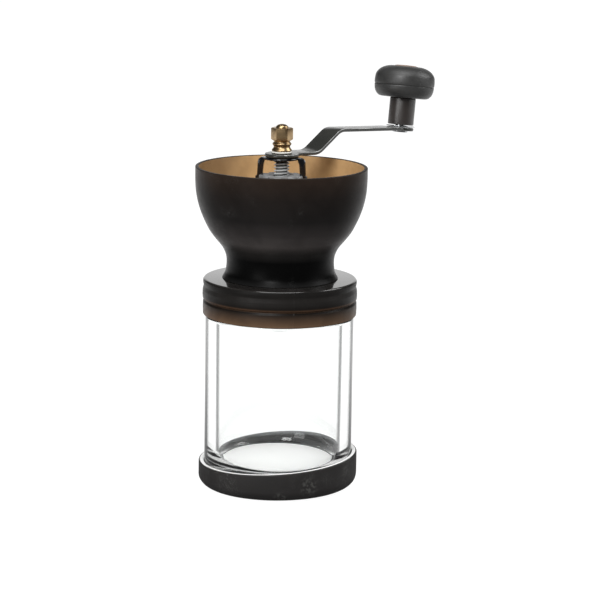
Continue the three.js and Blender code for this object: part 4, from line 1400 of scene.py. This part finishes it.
@dataclass
class BearingTower:
    """Three-armed bearing holder with its two bushes and the washer under the adjusting nut."""

    ring: float = 26.9
    ring_bore: float = 24.3
    low: float = 119.9
    high: float = 124.9
    sleeve: float = 8.28
    bore: float = 5.88
    foot: float = 112.2
    top: float = 161.8
    arms: int = 3
    web: float = 4.4
    boss: float = 3.1
    shaft: float = 4.08
    bush: float = 5.78
    bush_top: float = 163.1
    flange: float = 1.0
    bush_length: float = 9.0
    lower_bush: float = 119.4
    washer_bore: float = 4.45
    washer_thickness: float = 0.8
    play: float = 0.3

    def build(self) -> None:
        """Makes the tower, the bushes and the washer."""
        tower = turned(
            "tower",
            [
                (self.bore, self.foot, 0.3),
                (self.sleeve, self.foot, 0.5),
                (self.sleeve, self.high + 1.5, 2.0),
                (self.sleeve, self.top, 0.6),
                (self.bore, self.top, 0.3),
            ],
        )
        combine(tower, tube("ring", self.ring_bore, self.ring, self.low, self.high, 0.5), Join.ADD)
        first, last = (self.bore + self.sleeve) / 2, (self.ring + self.ring_bore) / 2
        web = bar("web", last - first, self.web, self.low, self.high, (first + last) / 2)
        spread(tower, soften(web, 0.5), self.arms, Join.ADD)
        boss = turned(
            "boss",
            [(0.0, self.low), (self.boss, self.low, 0.3), (self.boss, self.high, 0.5), (0.0, self.high)],
            Facets.SMALL,
        )
        SCREWS.repeat(tower, boss, Join.ADD)
        SCREWS.drill(tower, self.low, self.high)
        dress(tower, BLACK)
        hand_over(tower, "bearing_tower", "head")
        neck = self.bush_top - self.flange
        upper = turned(
            "upper_bush",
            [
                (self.shaft, neck - self.bush_length, 0.2),
                (self.bush, neck - self.bush_length, 0.4),
                (self.bush, neck, 0.1),
                (self.sleeve - 0.4, neck, 0.2),
                (self.sleeve - 0.4, self.bush_top, 0.3),
                (self.shaft, self.bush_top, 0.2),
            ],
        )
        low = self.lower_bush
        lower = tube("lower_bush", self.shaft, self.bush, low, low + self.bush_length, 0.4)
        washer_low = self.bush_top + self.play
        washer_high = washer_low + self.washer_thickness
        washer = tube("thrust_washer", self.washer_bore, self.sleeve, washer_low, washer_high)
        for piece, node in ((upper, "upper_bush"), (lower, "lower_bush"), (washer, "thrust_washer")):
            dress(piece, NYLON)
            hand_over(piece, node, "head")


@dataclass
class ToothedCone:
    """Cone with slanting saw teeth, or with a depth below zero, the cutter of a hollow one.

    The radii are those of the tooth tips at both ends, and the twist is how far the teeth wind, in radians.
    """

    ends: tuple[float, float]
    radii: tuple[float, float]
    depth: float
    twist: float
    teeth: int = 12
    steps: int = 6
    levels: int = 14

    def build(self, name: str) -> Piece:
        """Makes the cone under a name."""
        return wrapped(name, self.levels, self.teeth * self.steps, self.spot)

    def spot(self, i: int, j: int) -> Vector:
        """Places a point of the toothed face.

        Args:
            i: Number of the ring from the lower end.
            j: Number of the point on it.

        Returns:
            Its place.
        """
        share, phase = i / self.levels, (j % self.steps) / self.steps
        tip = self.radii[0] + (self.radii[1] - self.radii[0]) * share
        radius = tip + self.depth * (1.0 if phase == 0 else 1 - phase) - self.depth
        angle = FULL_TURN * j / (self.teeth * self.steps) + self.twist * share
        return on_circle(radius, angle, self.ends[0] + (self.ends[1] - self.ends[0]) * share)


@dataclass
class BurrSet:
    """Ceramic burrs in their housing, with what holds them."""

    housing: float = 21.2
    housing_bore: float = 19.3
    flange: float = 27.2
    flange_low: float = 109.7
    top: float = 112.3
    outer: float = 19.0
    outer_low: float = 94.3
    exit: float = 15.8
    mouth: float = 15.0
    inner_low: float = 94.5
    inner_top: float = 110.1
    base: float = 14.9
    tip: float = 8.0
    tooth: float = 0.9
    carrier: float = 5.6
    carrier_low: float = 92.0
    carrier_flange: float = 10.5
    flats: float = 7.1
    play: float = 0.3
    slot: tuple[float, float] = (17.7, 3.7)
    lugs: tuple[float, float] = (17.2, 3.2)
    tail_bore: float = 3.25
    washer: float = 7.0
    washer_ends: tuple[float, float] = (90.9, 91.7)
    nut_flats: float = 10.0
    nut_ends: tuple[float, float] = (88.0, 90.6)
    screw: float = 1.3
    screw_head: float = 2.3
    head_height: float = 1.8
    screw_tip: float = 123.9
    cross: tuple[float, float] = (2.8, 0.7)

    def build(self) -> None:
        """Makes every piece of the burr set."""
        self.build_fixed()
        self.build_turning()
        self.build_screws()

    def build_fixed(self) -> None:
        """Makes the housing and the outer burr."""
        lip, hole = self.outer_low - self.play, self.exit + 1
        housing = turned(
            "burr_housing",
            [
                (hole, lip - 1.8, 0.3),
                (self.housing, lip - 1.8, 0.8),
                (self.housing, self.flange_low, 0.6),
                (self.flange, self.flange_low, 0.5),
                (self.flange, self.top, 0.3),
                (self.housing_bore, self.top, 0.3),
                (self.housing_bore, lip, 0.2),
                (hole, lip, 0.3),
            ],
        )
        SCREWS.drill(housing, self.flange_low, self.top)
        dress(housing, BLACK)
        hand_over(housing, "burr_housing", "head")
        burr = turned(
            "outer_burr",
            [
                (0.0, self.outer_low),
                (self.outer, self.outer_low, 0.6),
                (self.outer, self.top, 0.6),
                (0.0, self.top),
            ],
        )
        ends = (self.outer_low - PAST, self.top + PAST)
        combine(burr, ToothedCone(ends, (self.exit, self.mouth), -self.tooth, 0.5).build("teeth"), Join.CUT)
        dress(burr, CERAMIC)
        hand_over(burr, "outer_burr", "head")

    def build_turning(self) -> None:
        """Makes the inner burr, its carrier, and the washer and nut under it."""
        ends = (self.inner_low, self.inner_top)
        burr = ToothedCone(ends, (self.base, self.tip), self.tooth, -0.9).build("inner_burr")
        combine(burr, drill(self.carrier + 0.25, *ends, Facets.MIDDLE), Join.CUT)
        combine(burr, bar("slot", *self.slot, self.carrier_low - PAST, self.inner_low + 2.5), Join.CUT)
        dress(burr, CERAMIC)
        hand_over(burr, "inner_burr", "shaft")
        flange_top = self.inner_low - self.play
        top = self.inner_top + 0.6
        carrier = turned(
            "burr_carrier",
            [
                (0.0, self.carrier_low),
                (self.carrier_flange, self.carrier_low, 0.5),
                (self.carrier_flange, flange_top, 0.3),
                (self.carrier, flange_top, 0.2),
                (self.carrier, top, 0.4),
                (0.0, top),
            ],
        )
        lugs = bar("lugs", *self.lugs, self.carrier_low + 1, self.inner_low + 2.2)
        combine(carrier, soften(lugs, 0.3), Join.ADD)
        combine(carrier, prism("drive", self.flats, self.carrier_low - PAST, top + PAST), Join.CUT)
        dress(carrier, BLACK)
        hand_over(carrier, "burr_carrier", "shaft")
        washer = tube("burr_washer", self.tail_bore, self.washer, *self.washer_ends)
        dress(washer, STEEL)
        hand_over(washer, "burr_washer", "shaft")
        nut = soften(prism("burr_nut", self.nut_flats, *self.nut_ends), 0.35)
        combine(nut, drill(self.tail_bore, *self.nut_ends), Join.CUT)
        dress(nut, STEEL)
        hand_over(nut, "burr_nut", "shaft")

    def build_screws(self) -> None:
        """Makes the three cross-head screws."""
        head_top = self.flange_low - self.play
        head_low = head_top - self.head_height
        screw = turned(
            "screw",
            [
                (0.0, head_low),
                (self.screw_head, head_low, 0.8),
                (self.screw_head, head_top, 0.2),
                (self.screw, head_top, 0.1),
                (self.screw, self.screw_tip, 0.5),
                (0.0, self.screw_tip),
            ],
            Facets.SMALL,
        )
        for turn in (0.0, 90.0):
            cut = bar("cut", *self.cross, head_low - 1.2, head_low + self.head_height / 2)
            combine(screw, moved(cut, turn), Join.CUT)
        dress(moved(screw, by=(SCREWS.radius, 0.0, 0.0)), STEEL)
        for k in range(SCREWS.count):
            name = f"housing_screw_{k + 1}"
            piece = moved(copy_of(screw, name), SCREWS.first_degrees + 360 / SCREWS.count * k)
            hand_over(piece, name, "head")
        discard(screw)


@dataclass
class ReturnSpring:
    """Spring that presses the shaft down, and its seat."""

    low: float = 112.1
    high: float = 119.1
    wire: float = 0.55
    middle: float = 4.94
    turns: int = 5
    steps: int = 36
    sides: int = 10
    seat_bore: float = 4.25
    seat: float = 5.68
    seat_ends: tuple[float, float] = (111.0, 111.8)

    def build(self) -> None:
        """Makes the seat, which rides on the shaft, and the spring, which rides on no body."""
        seat = tube("spring_seat", self.seat_bore, self.seat, *self.seat_ends)
        dress(seat, STEEL)
        hand_over(seat, "spring_seat", "shaft")
        spring = wrapped("return_spring", self.turns * self.steps, self.sides, self.wound)
        dress(spring, STEEL)
        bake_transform(spring)
        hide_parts("return_spring")
        log.info("%s: %d faces between bodies nut and shaft", spring.name, len(spring.data.polygons))

    def wound(self, i: int, j: int) -> Vector:
        """Places a point of the wire.

        Args:
            i: Number of the ring along the wire.
            j: Number of the point round it.

        Returns:
            Its place.
        """
        side, share = FULL_TURN * j / self.sides, i / (self.turns * self.steps)
        middle = self.low + self.wire + (self.high - self.low - 2 * self.wire) * share
        radius, z = self.middle + self.wire * math.cos(side), middle + self.wire * math.sin(side)
        return on_circle(radius, FULL_TURN * i / self.steps, z)


# Shaft and adjusting nut


@dataclass
class Shaft:
    """Steel shaft: threaded tail, hexagonal drives, adjusting thread and top stud."""

    radius: float = 4.0
    tail: float = 3.0
    tail_low: float = 87.4
    hex_low: float = 92.3
    hex_top: float = 110.9
    thread_low: float = 164.5
    root: float = 3.1
    crest: float = 4.2
    pitch: float = 1.67
    turns: float = 8.5
    drive_low: float = 179.7
    drive_top: float = 183.1
    stud: float = 2.6
    stud_top: float = 193.1
    drive_flats: float = 6.2
    burr_flats: float = 6.6
    crest_depth: float = 0.35

    def build(self) -> None:
        """Makes the shaft."""
        shaft = turned(
            "main_shaft",
            [
                (0.0, self.tail_low),
                (self.tail, self.tail_low, 0.5),
                (self.tail, self.hex_top),
                (self.radius, self.hex_top, 0.3),
                (self.radius, self.thread_low - 0.4, 0.3),
                (self.root, self.thread_low),
                (self.root, self.drive_low + 0.4),
                (self.stud, self.drive_top),
                (self.stud, self.stud_top, 0.6),
                (0.0, self.stud_top),
            ],
        )
        thread = Thread(
            self.root - 0.3, self.crest, self.thread_low + 0.4, self.pitch, self.turns,
            base=self.pitch * 0.94, top=self.pitch * 0.16, steps=48, fade_degrees=30.0,
        )
        combine(shaft, thread.build("adjusting_thread"), Join.ADD)
        for flats, low, high in (
            (self.drive_flats, self.drive_low, self.drive_top), (self.burr_flats, self.hex_low, self.hex_top),
        ):
            combine(shaft, soften(prism("drive", flats, low, high), 0.2), Join.ADD)
        dress(shaft, STEEL, THREAD_PAINTED_HIGHLIGHT, THREAD_PAINTED_SHADE)
        # Crests and upward flanks take the painted highlight, the rest of the thread the painted shade.
        paint(shaft, 1, lambda at, normal: self.in_thread(at) and self.is_bright(at, normal))
        paint(shaft, 2, lambda at, normal: self.in_thread(at) and not self.is_bright(at, normal))
        hand_over(shaft, "main_shaft", "shaft")

    def in_thread(self, at: Vector) -> bool:
        """Tells whether a place is at the height of the adjusting thread."""
        return self.thread_low < at.z < self.drive_low

    def is_bright(self, at: Vector, normal: Vector) -> bool:
        """Tells whether a face of the thread is on its crest or looks up, and so takes the painted highlight.
        """
        return at.xy.length > self.crest - self.crest_depth or normal.z > 0.6


@dataclass
class AdjustingNut:
    """Notched grey disc on a hub."""

    bore: float = 4.45
    hub: float = 8.08
    low: float = 164.5
    disc_low: float = 166.7
    high: float = 171.5
    radius: float = 12.2
    notches: int = 10
    notch_width: float = 3.8
    notch_floor: float = 9.9
    first_notch: float = -60.0

    def build(self) -> None:
        """Makes the nut."""
        nut = turned(
            "adjusting_nut",
            [
                (self.bore, self.low, 0.3),
                (self.hub, self.low, 0.5),
                (self.hub, self.disc_low, 0.6),
                (self.radius, self.disc_low, 0.7),
                (self.radius, self.high, 0.7),
                (self.hub - 1.2, self.high, 0.2),
                (self.hub - 1.6, self.high - 0.3, 0.2),
                (self.bore, self.high - 0.3, 0.3),
            ],
        )
        depth = self.radius + PAST - self.notch_floor
        middle = self.notch_floor + depth / 2
        notch = bar("notch", depth, self.notch_width, self.disc_low - PAST, self.high + PAST, middle)
        spread(nut, soften(notch, 0.5), self.notches, Join.CUT, self.first_notch)
        soften(nut, 0.18, 2, 50.0)
        dress(nut, GREY)
        hand_over(nut, "adjusting_nut", "nut")


@dataclass
class Stopper:
    """Two-legged catch that keeps the adjusting nut from turning on the shaft."""

    low: float = 180.1
    plate: float = 1.1
    disc: float = 9.6
    width: float = 3.0
    foot: float = 11.7
    top: float = 11.3
    reach: float = 2.4
    sole: float = 169.1
    nut_top: float = 171.5
    turn: float = -60.0
    flats: float = 6.7

    def build(self) -> None:
        """Makes the catch."""
        high, half = self.low + self.plate, self.width / 2
        side = rounded(
            [
                (self.disc - 2.5, high),
                (self.top + half, high, 3.0),
                (self.foot + half, self.sole + 2.4, 1.0),
                (self.foot + self.reach, self.sole + 1.6, 0.7),
                (self.foot + self.reach, self.sole, 0.5),
                (self.foot - half, self.sole, 0.4),
                (self.foot - half, self.nut_top + 1.5, 0.8),
                (self.top - half, self.low - 2.6, 1.2),
                (self.top - half - 1, self.low, 0.3),
                (self.disc - 2.5, self.low),
            ],
        )
        leg = slab("leg", side, -half, half)
        leg.data.transform(Matrix.Rotation(math.pi / 2, 4, "X"))
        soften(leg, 0.4, 3, 50.0)
        catch = turned(
            "nut_stopper", [(0.0, self.low), (self.disc, self.low, 0.35), (self.disc, high, 0.5), (0.0, high)]
        )
        spread(catch, leg, 2, Join.ADD, self.turn)
        combine(catch, prism("drive", self.flats, self.low - PAST, high + PAST), Join.CUT)
        dress(catch, GLOSS)
        hand_over(catch, "nut_stopper", "shaft")


# Crank


@dataclass
class Crank:
    """Bent flat arm with its hub washer and the brass cap nut."""

    top: float = 183.4
    thickness: float = 1.9
    width: float = 12.2
    hub: float = 9.2
    end: float = 7.6
    reach: float = 104.2
    hub_end: float = 10.5
    hub_bend: float = 20.0
    ramp_start: float = 24.5
    ramp_end: float = 43.3
    ramp_top: float = 193.3
    end_start: float = 94.2
    end_start_z: float = 189.562
    seat_z: float = 188.334
    lean: float = 7.0
    bend: float = 12.0
    dip: float = 0.9
    past_end: float = 12.0
    arc_steps: int = 40
    flats: float = 6.7
    rivet_hole: float = 3.25
    cap_flats: float = 10.3
    cap_low: float = 184.8
    cap_neck: float = 5.5
    cap_head: float = 6.9
    cap_turn: float = 39.7
    cap_bore_top: float = 192.8
    cap_lip: float = 5.5
    cap_shoulder: float = 4.6
    groove: float = 4.15
    bead: float = 5.15
    dome: float = 3.4
    dome_height: float = 2.0
    stud: float = 2.85
    washer: float = 5.7
    washer_gap: float = 0.3
    washer_thickness: float = 0.8

    def build(self) -> None:
        """Makes the arm, the washer and the cap nut."""
        self.build_arm()
        low = self.top + self.washer_gap
        washer = tube("hub_washer", self.stud, self.washer, low, low + self.washer_thickness, 0.25)
        dress(washer, NYLON)
        hand_over(washer, "hub_washer", "shaft")
        self.build_cap_nut()

    def plan(self) -> Outline:
        """Draws the arm seen from above.

        Returns:
            The arc round the knob's end and the arc round the hub, which two straight sides join.
        """
        outline: Outline = []
        for x, radius, facing in ((self.reach, self.end, 0.0), (0.0, self.hub, math.pi)):
            sweep = 2 * (math.pi - math.asin(self.width / 2 / radius))
            for k in range(self.arc_steps + 1):
                angle = facing + sweep * (k / self.arc_steps - 0.5)
                outline.append((x + radius * math.cos(angle), radius * math.sin(angle)))
        return outline

    def side_view(self) -> Outline:
        """Draws the line that the arm's upper face follows from the hub to past its end.

        Returns:
            The line's points as (x, z).
        """
        tip = self.reach + self.past_end
        return rounded(
            [
                (-self.hub - 2, self.top),
                (self.hub_end, self.top, self.hub_bend),
                (self.ramp_start, self.top - self.dip, self.bend),
                (self.ramp_end, self.ramp_top, self.bend),
                (self.end_start, self.end_start_z, self.bend),
                (tip, self.seat_z - self.past_end * math.tan(math.radians(self.lean))),
            ],
            closed=False,
            degrees=2.5,
        )

    @staticmethod
    def bent(side: Outline, at: Vector) -> Vector:
        """Lays a point of the flat arm along a side view.

        Args:
            side: The line that the upper face follows.
            at: The point.

        Returns:
            Its new place.
        """
        last = len(side) - 1
        k = max(1, next((n for n, p in enumerate(side) if p[0] >= at.x), last))
        start, end = Vector(side[k - 1]), Vector(side[k])
        share = (at.x - start.x) / (end.x - start.x)
        slopes = []
        for n in (k - 1, k):
            before, after = side[max(n - 1, 0)], side[min(n + 1, last)]
            slopes.append((after[1] - before[1]) / (after[0] - before[0]))
        tilt = math.atan(slopes[0] + (slopes[1] - slopes[0]) * share)
        on_line = start.lerp(end, share)
        return Vector((on_line.x - at.z * math.sin(tilt), at.y, on_line.y + at.z * math.cos(tilt)))

    def build_arm(self) -> None:
        """Cuts the flat arm across, bends it to its side view and drills it."""
        side = self.side_view()
        arm = slab("crank_arm", self.plan(), -self.thickness, 0.0)
        soften(arm, 0.6, 3)
        edit(arm)
        for x, _ in side[1:-1]:
            bpy.ops.mesh.select_all(action="SELECT")
            bpy.ops.mesh.bisect(plane_co=(x * MM, 0, 0), plane_no=(1, 0, 0))
        bpy.ops.object.mode_set(mode="OBJECT")
        shape_each(arm, lambda at: self.bent(side, at))
        combine(arm, prism("drive", self.flats, self.top - 5, self.top + 5), Join.CUT)
        combine(arm, Knob.seated(drill(self.rivet_hole, -self.thickness, 0.0, Facets.MIDDLE)), Join.CUT)
        dress(arm, ARM_PAINT, ARM_PAINTED_HIGHLIGHT, smooth=28.0)
        # The upper edge's rounding takes the painted highlight.
        paint(arm, 1, self.is_edge)
        hand_over(arm, "crank_arm", "shaft")

    def is_edge(self, at: Vector, normal: Vector) -> bool:
        """Tells whether a face belongs to the rounding of the arm's upper edge, which takes the painted
        highlight.
        """
        return normal.z > 0.3 and 0.5 < normal.xy.length < 0.9 and abs(normal.y) > 0.5

    def build_cap_nut(self) -> None:
        """Makes the beaded neck, the chamfered hexagon and the small dome."""
        base = self.cap_low + self.cap_neck
        high = base + self.cap_head
        bead = self.cap_neck / 4
        corner = self.cap_flats / 2 / math.cos(math.pi / 6)
        neck = turned(
            "cap_nut",
            [
                (0.0, self.cap_low),
                (self.cap_lip + 0.05, self.cap_low, 0.2),
                (self.cap_lip, self.cap_low + 0.4, 0.3),
                (self.groove, self.cap_low + 1.6 * bead, 1.4),
                (self.bead, self.cap_low + 2.5 * bead, 0.5),
                (self.bead, self.cap_low + 2.9 * bead, 0.5),
                (self.groove + 0.15, self.cap_low + 3.5 * bead, 0.4),
                (self.cap_shoulder, base + 0.5, 0.2),
                (0.0, base + 0.5),
            ],
        )
        chamfer = turned(
            "chamfer",
            [
                (0.0, base),
                (corner - 1.1, base, 0.2),
                (corner + 0.1, base + 0.7, 0.4),
                (corner + 0.1, high - 0.35, 0.3),
                (corner - 0.6, high, 0.2),
                (0.0, high),
            ],
        )
        head = prism("head", self.cap_flats, base - PAST, high + PAST, self.cap_turn)
        combine(head, chamfer, Join.KEEP_COMMON)
        soften(head, 0.15, 2, 30.0)
        combine(neck, head, Join.ADD)
        quarter = [math.radians(9 * k) for k in range(10)]
        arc = [(self.dome * math.cos(a), high + self.dome_height * math.sin(a)) for a in quarter]
        sunk, tip = high - 0.6, high + self.dome_height
        combine(neck, turned("dome", [(0.0, sunk), (self.dome, sunk), *arc, (0.0, tip)]), Join.ADD)
        combine(neck, drill(self.stud, self.cap_low, self.cap_bore_top), Join.CUT)
        dress(neck, BRASS, smooth=28.0)
        hand_over(neck, "cap_nut", "shaft")


@dataclass
class Knob:
    """Soft-touch knob on a stem that leans outwards. Its pieces are drawn upright and then leaned over."""

    stem: float = 7.35
    stem_low: float = 1.4
    stem_top: float = 16.6
    bore: float = 3.25
    low: float = 16.8
    seam: float = 23.8
    top: float = 34.6
    wall: float = 2.0
    plug: float = 6.6
    spindle: float = 3.0
    spindle_low: float = -2.2
    spindle_top: float = 29.0
    spindle_foot: float = 4.4
    spindle_head: float = 4.8
    spindle_edge: float = 0.3
    washer: float = 8.2
    washer_ends: tuple[float, float] = (0.35, 0.85)
    waist: float = 16.85
    seam_gap: float = 0.12
    spigot: float = 15.0
    cap_hole: float = 5.2
    cap_roof: float = 28.7
    cup: tuple[tuple[float, float], ...] = (
        (12.6, 0.0), (13.9, 0.3), (15.0, 1.1), (16.1, 2.6), (16.7, 4.4), (16.95, 6.6),
    )
    crown: tuple[tuple[float, float], ...] = (
        (17.05, 24.7), (17.08, 25.8), (16.95, 27.8), (16.6, 29.5), (15.55, 31.2), (13.9, 32.7), (11.7, 33.8),
        (9.4, 34.42), (7.4, 34.6),
    )

    @staticmethod
    def seated(piece: Piece) -> Piece:
        """Leans a piece drawn upright at the origin and sets it on the crank's end.

        Args:
            piece: The piece.

        Returns:
            The same piece.
        """
        crank = Crank()
        lean = Matrix.Rotation(math.radians(crank.lean), 4, "Y")
        piece.data.transform(Matrix.Translation(Vector((crank.reach, 0, crank.seat_z)) * MM) @ lean)
        return piece

    def build(self) -> None:
        """Makes the knob's six pieces."""
        spindle = turned(
            "knob_spindle",
            [
                (0.0, self.spindle_low - 0.7),
                (self.spindle_foot, self.spindle_low - 0.7, 0.4),
                (self.spindle_foot, self.spindle_low, 0.1),
                (self.spindle, self.spindle_low, 0.1),
                (self.spindle, self.spindle_top, 0.1),
                (self.spindle_head, self.spindle_top, 0.2),
                (self.spindle_head, self.spindle_top + 1.4, 0.5),
                (0.0, self.spindle_top + 1.4),
            ],
        )
        washer = tube("spindle_washer", self.bore, self.washer, *self.washer_ends, 0.15)
        stem = tube("knob_stem", self.bore, self.stem, self.stem_low, self.stem_top, 0.5)
        base = turned(
            "knob_base",
            [
                (self.bore, self.low, 0.2),
                *smooth_line([(radius, self.low + up) for radius, up in self.cup], 4),
                (self.waist, self.seam, 0.1),
                (self.spigot, self.seam, 0.1),
                (self.spigot, self.seam + 1.4, 0.1),
                (self.spigot - 0.8, self.seam + 1.4, 0.2),
                (self.spigot - 1.4, self.low + 3.0, 1.0),
                (self.stem, self.low + 2.0, 1.0),
                (self.stem - 1.2, self.spindle_top - self.spindle_edge, 0.3),
                (self.bore, self.spindle_top - self.spindle_edge, 0.2),
            ],
            Facets.WIDE,
        )
        recess, edge = self.top - 1.3, self.seam + self.seam_gap
        cap = turned(
            "knob_cap",
            [
                (self.cap_hole, recess, 0.2),
                (self.plug + 0.3, recess, 0.2),
                (self.plug + 0.3, self.top, 0.3),
                *reversed(smooth_line(list(self.crown), 4)),
                (self.waist + 0.13, self.seam + 0.4, 0.2),
                (self.waist, edge, 0.1),
                (self.spigot + 0.3, edge, 0.1),
                (self.spigot - 0.5, self.cap_roof, 3.0),
                (self.plug + 1.5, recess - self.wall, 1.0),
                (self.cap_hole, recess - self.wall, 0.2),
            ],
            Facets.WIDE,
        )
        plug = turned(
            "knob_plug",
            [
                (0.0, recess + 0.3),
                (self.plug, recess + 0.3, 0.2),
                (self.plug, recess + 1.35, 0.3),
                (self.plug - 1.2, recess + 1.75, 1.0),
                (0.0, recess + 1.95),
            ],
        )
        for piece, node, finish, body, slot in (
            (spindle, "knob_spindle", STEEL, "shaft", "steel"),
            (washer, "spindle_washer", STEEL, "shaft", "steel"),
            (stem, "knob_stem", STEM_BLACK, "knob", "gloss_black"),
            (base, "knob_base", SOFT_TOUCH, "knob", "soft_touch"),
            (cap, "knob_cap", SOFT_TOUCH, "knob", "soft_touch"),
            (plug, "knob_plug", PLUG, "knob", "brown_plastic"),
        ):
            dress(Knob.seated(piece), finish)
            hand_over(piece, node, body)


# Studio


@dataclass(frozen=True)
class Lamp:
    """A soft square lamp that looks at one point of the mill."""

    name: str
    place: Triple
    aim: Triple
    size: float
    watts: float

    def build(self) -> None:
        """Sets the lamp up."""
        data = bpy.data.lights.new(self.name, "AREA")
        data.energy = self.watts
        data.size = self.size
        lamp = bpy.data.objects.new(self.name, data)
        bpy.context.collection.objects.link(lamp)
        lamp.location = self.place
        lamp.rotation_euler = (Vector(self.place) - Vector(self.aim)).to_track_quat("Z", "Y").to_euler()


@dataclass
class Studio:
    """White floor, white surroundings, soft lamps and the photograph's camera."""

    sky: float = 0.45
    front: float = 0.05
    sides: float = 0.35
    lamps: tuple[Lamp, ...] = (
        Lamp("overhead", (-0.25, -0.20, 1.30), (0.0, 0.0, 0.10), 0.9, 9.0),
        Lamp("front_box", (-0.925, -0.33, 0.79), (0.0, 0.0, 0.15), 0.4, 8.0),
        Lamp("left_front", (-1.25, 0.10, 0.30), (0.0, 0.0, 0.15), 0.5, 2.4),
        Lamp("right_back", (0.65, -0.50, 0.75), (0.0, 0.0, 0.15), 0.5, 3.5),
        Lamp("right_side", (0.75, -1.05, 0.55), (0.0, 0.0, 0.10), 0.8, 2.0),
    )
    white: tuple[float, ...] = (1.0, 1.0, 1.0, 1.0)
    cloth: tuple[float, ...] = (0.15, 0.15, 0.15, 1.0)
    floor_glow: float = 0.97
    camera_place: Triple = (-0.9989, -0.8441, 0.3647)
    forward: tuple[float, float] = (0.7694, 0.6388)
    pitch: float = 11.319
    roll: float = 0.9
    lens: float = 147.0
    sensor: float = 36.0
    shift: float = -0.001

    def build(self) -> None:
        """Sets up floor, world, lamps and camera."""
        self.build_floor()
        self.build_world()
        for lamp in self.lamps:
            lamp.build()
        self.build_camera()

    def build_floor(self) -> None:
        """Makes a floor that takes a faint shadow and is white to the eye, but dimmer in gloss and glass."""
        deselect()
        bpy.ops.mesh.primitive_plane_add(size=8.0)
        floor = bpy.context.object
        floor.name = "floor"
        floor.location = (0, 0, -0.0002)
        material = bpy.data.materials.new("white_floor")
        material.use_nodes = True
        sheet = NodeSheet(material.node_tree)
        away = sheet.along((*self.forward, 0.0))
        rays = sheet.add("LightPath", {}).outputs
        through = sheet.times(rays["Is Transmission Ray"], sheet.between(away, -0.08, 0.0, (0.4, 1.0)))
        shine = sheet.times(rays["Is Glossy Ray"], sheet.between(away, -0.05, 0.35, (0.12, 1.0)))
        seen = sheet.larger(sheet.larger(rays["Is Camera Ray"], through), shine)
        glow = sheet.add("Emission", {"Color": self.white, "Strength": sheet.times(seen, self.floor_glow)})
        cloth = sheet.add("BsdfDiffuse", {"Color": self.cloth})
        both = sheet.add("AddShader", {0: cloth.outputs[0], 1: glow.outputs[0]})
        sheet.add("OutputMaterial", {"Surface": both.outputs[0]})
        floor.data.materials.append(material)

    def build_world(self) -> None:
        """Makes a room that is white to the eye, with its white wall behind the mill and dimmer sides."""
        world = bpy.data.worlds.new("white_room")
        bpy.context.scene.world = world
        world.use_nodes = True
        sheet = NodeSheet(world.node_tree, "Generated")
        facing, up = sheet.along((*self.forward, 0.0)), sheet.along((0.0, 0.0, 1.0))
        across = sheet.add("Math", {0: facing}, operation="ABSOLUTE").outputs[0]
        rays = sheet.add("LightPath", {}).outputs
        walls = sheet.larger(sheet.between(across, 0.4, 0.75, (self.sides, 1.0)), sheet.between(up, 0.2, 0.4))
        through = sheet.times(rays["Is Transmission Ray"], walls)
        shine = sheet.times(rays["Is Glossy Ray"], sheet.between(facing, 0.8, 0.985, (self.front, 1.0)))
        soft = sheet.times(rays["Is Diffuse Ray"], self.sky)
        level = sheet.larger(sheet.larger(rays["Is Camera Ray"], shine), sheet.larger(through, soft))
        glow = sheet.add("Background", {"Color": self.white, "Strength": level})
        sheet.add("OutputWorld", {"Surface": glow.outputs[0]})

    def build_camera(self) -> None:
        """Sets the camera at the photograph's place and angle."""
        data = bpy.data.cameras.new("camera")
        data.lens = self.lens
        data.sensor_width = self.sensor
        data.shift_x = self.shift
        camera = bpy.data.objects.new("camera", data)
        bpy.context.collection.objects.link(camera)
        pitch = math.radians(self.pitch)
        aim = Vector((*(Vector(self.forward) * math.cos(pitch)), -math.sin(pitch)))
        turn = aim.to_track_quat("-Z", "Y").to_matrix().to_4x4()
        roll = Matrix.Rotation(math.radians(self.roll), 4, "Z")
        camera.matrix_world = Matrix.Translation(self.camera_place) @ turn @ roll
        bpy.context.scene.camera = camera


# The mill


def main() -> None:
    """Builds the mill and the studio, and logs the faces of each piece."""
    logging.basicConfig(level=logging.INFO, format="%(name)s %(message)s")
    for assembly in (
        BaseRing(), Jar(), Collar(), Hopper(), BearingTower(), BurrSet(), ReturnSpring(), Shaft(),
        AdjustingNut(), Stopper(), Crank(), Knob(), Studio(),
    ):
        assembly.build()
    bpy.context.scene.view_settings.view_transform = "Standard"
    deselect()


if __name__ == "__main__":
    main()
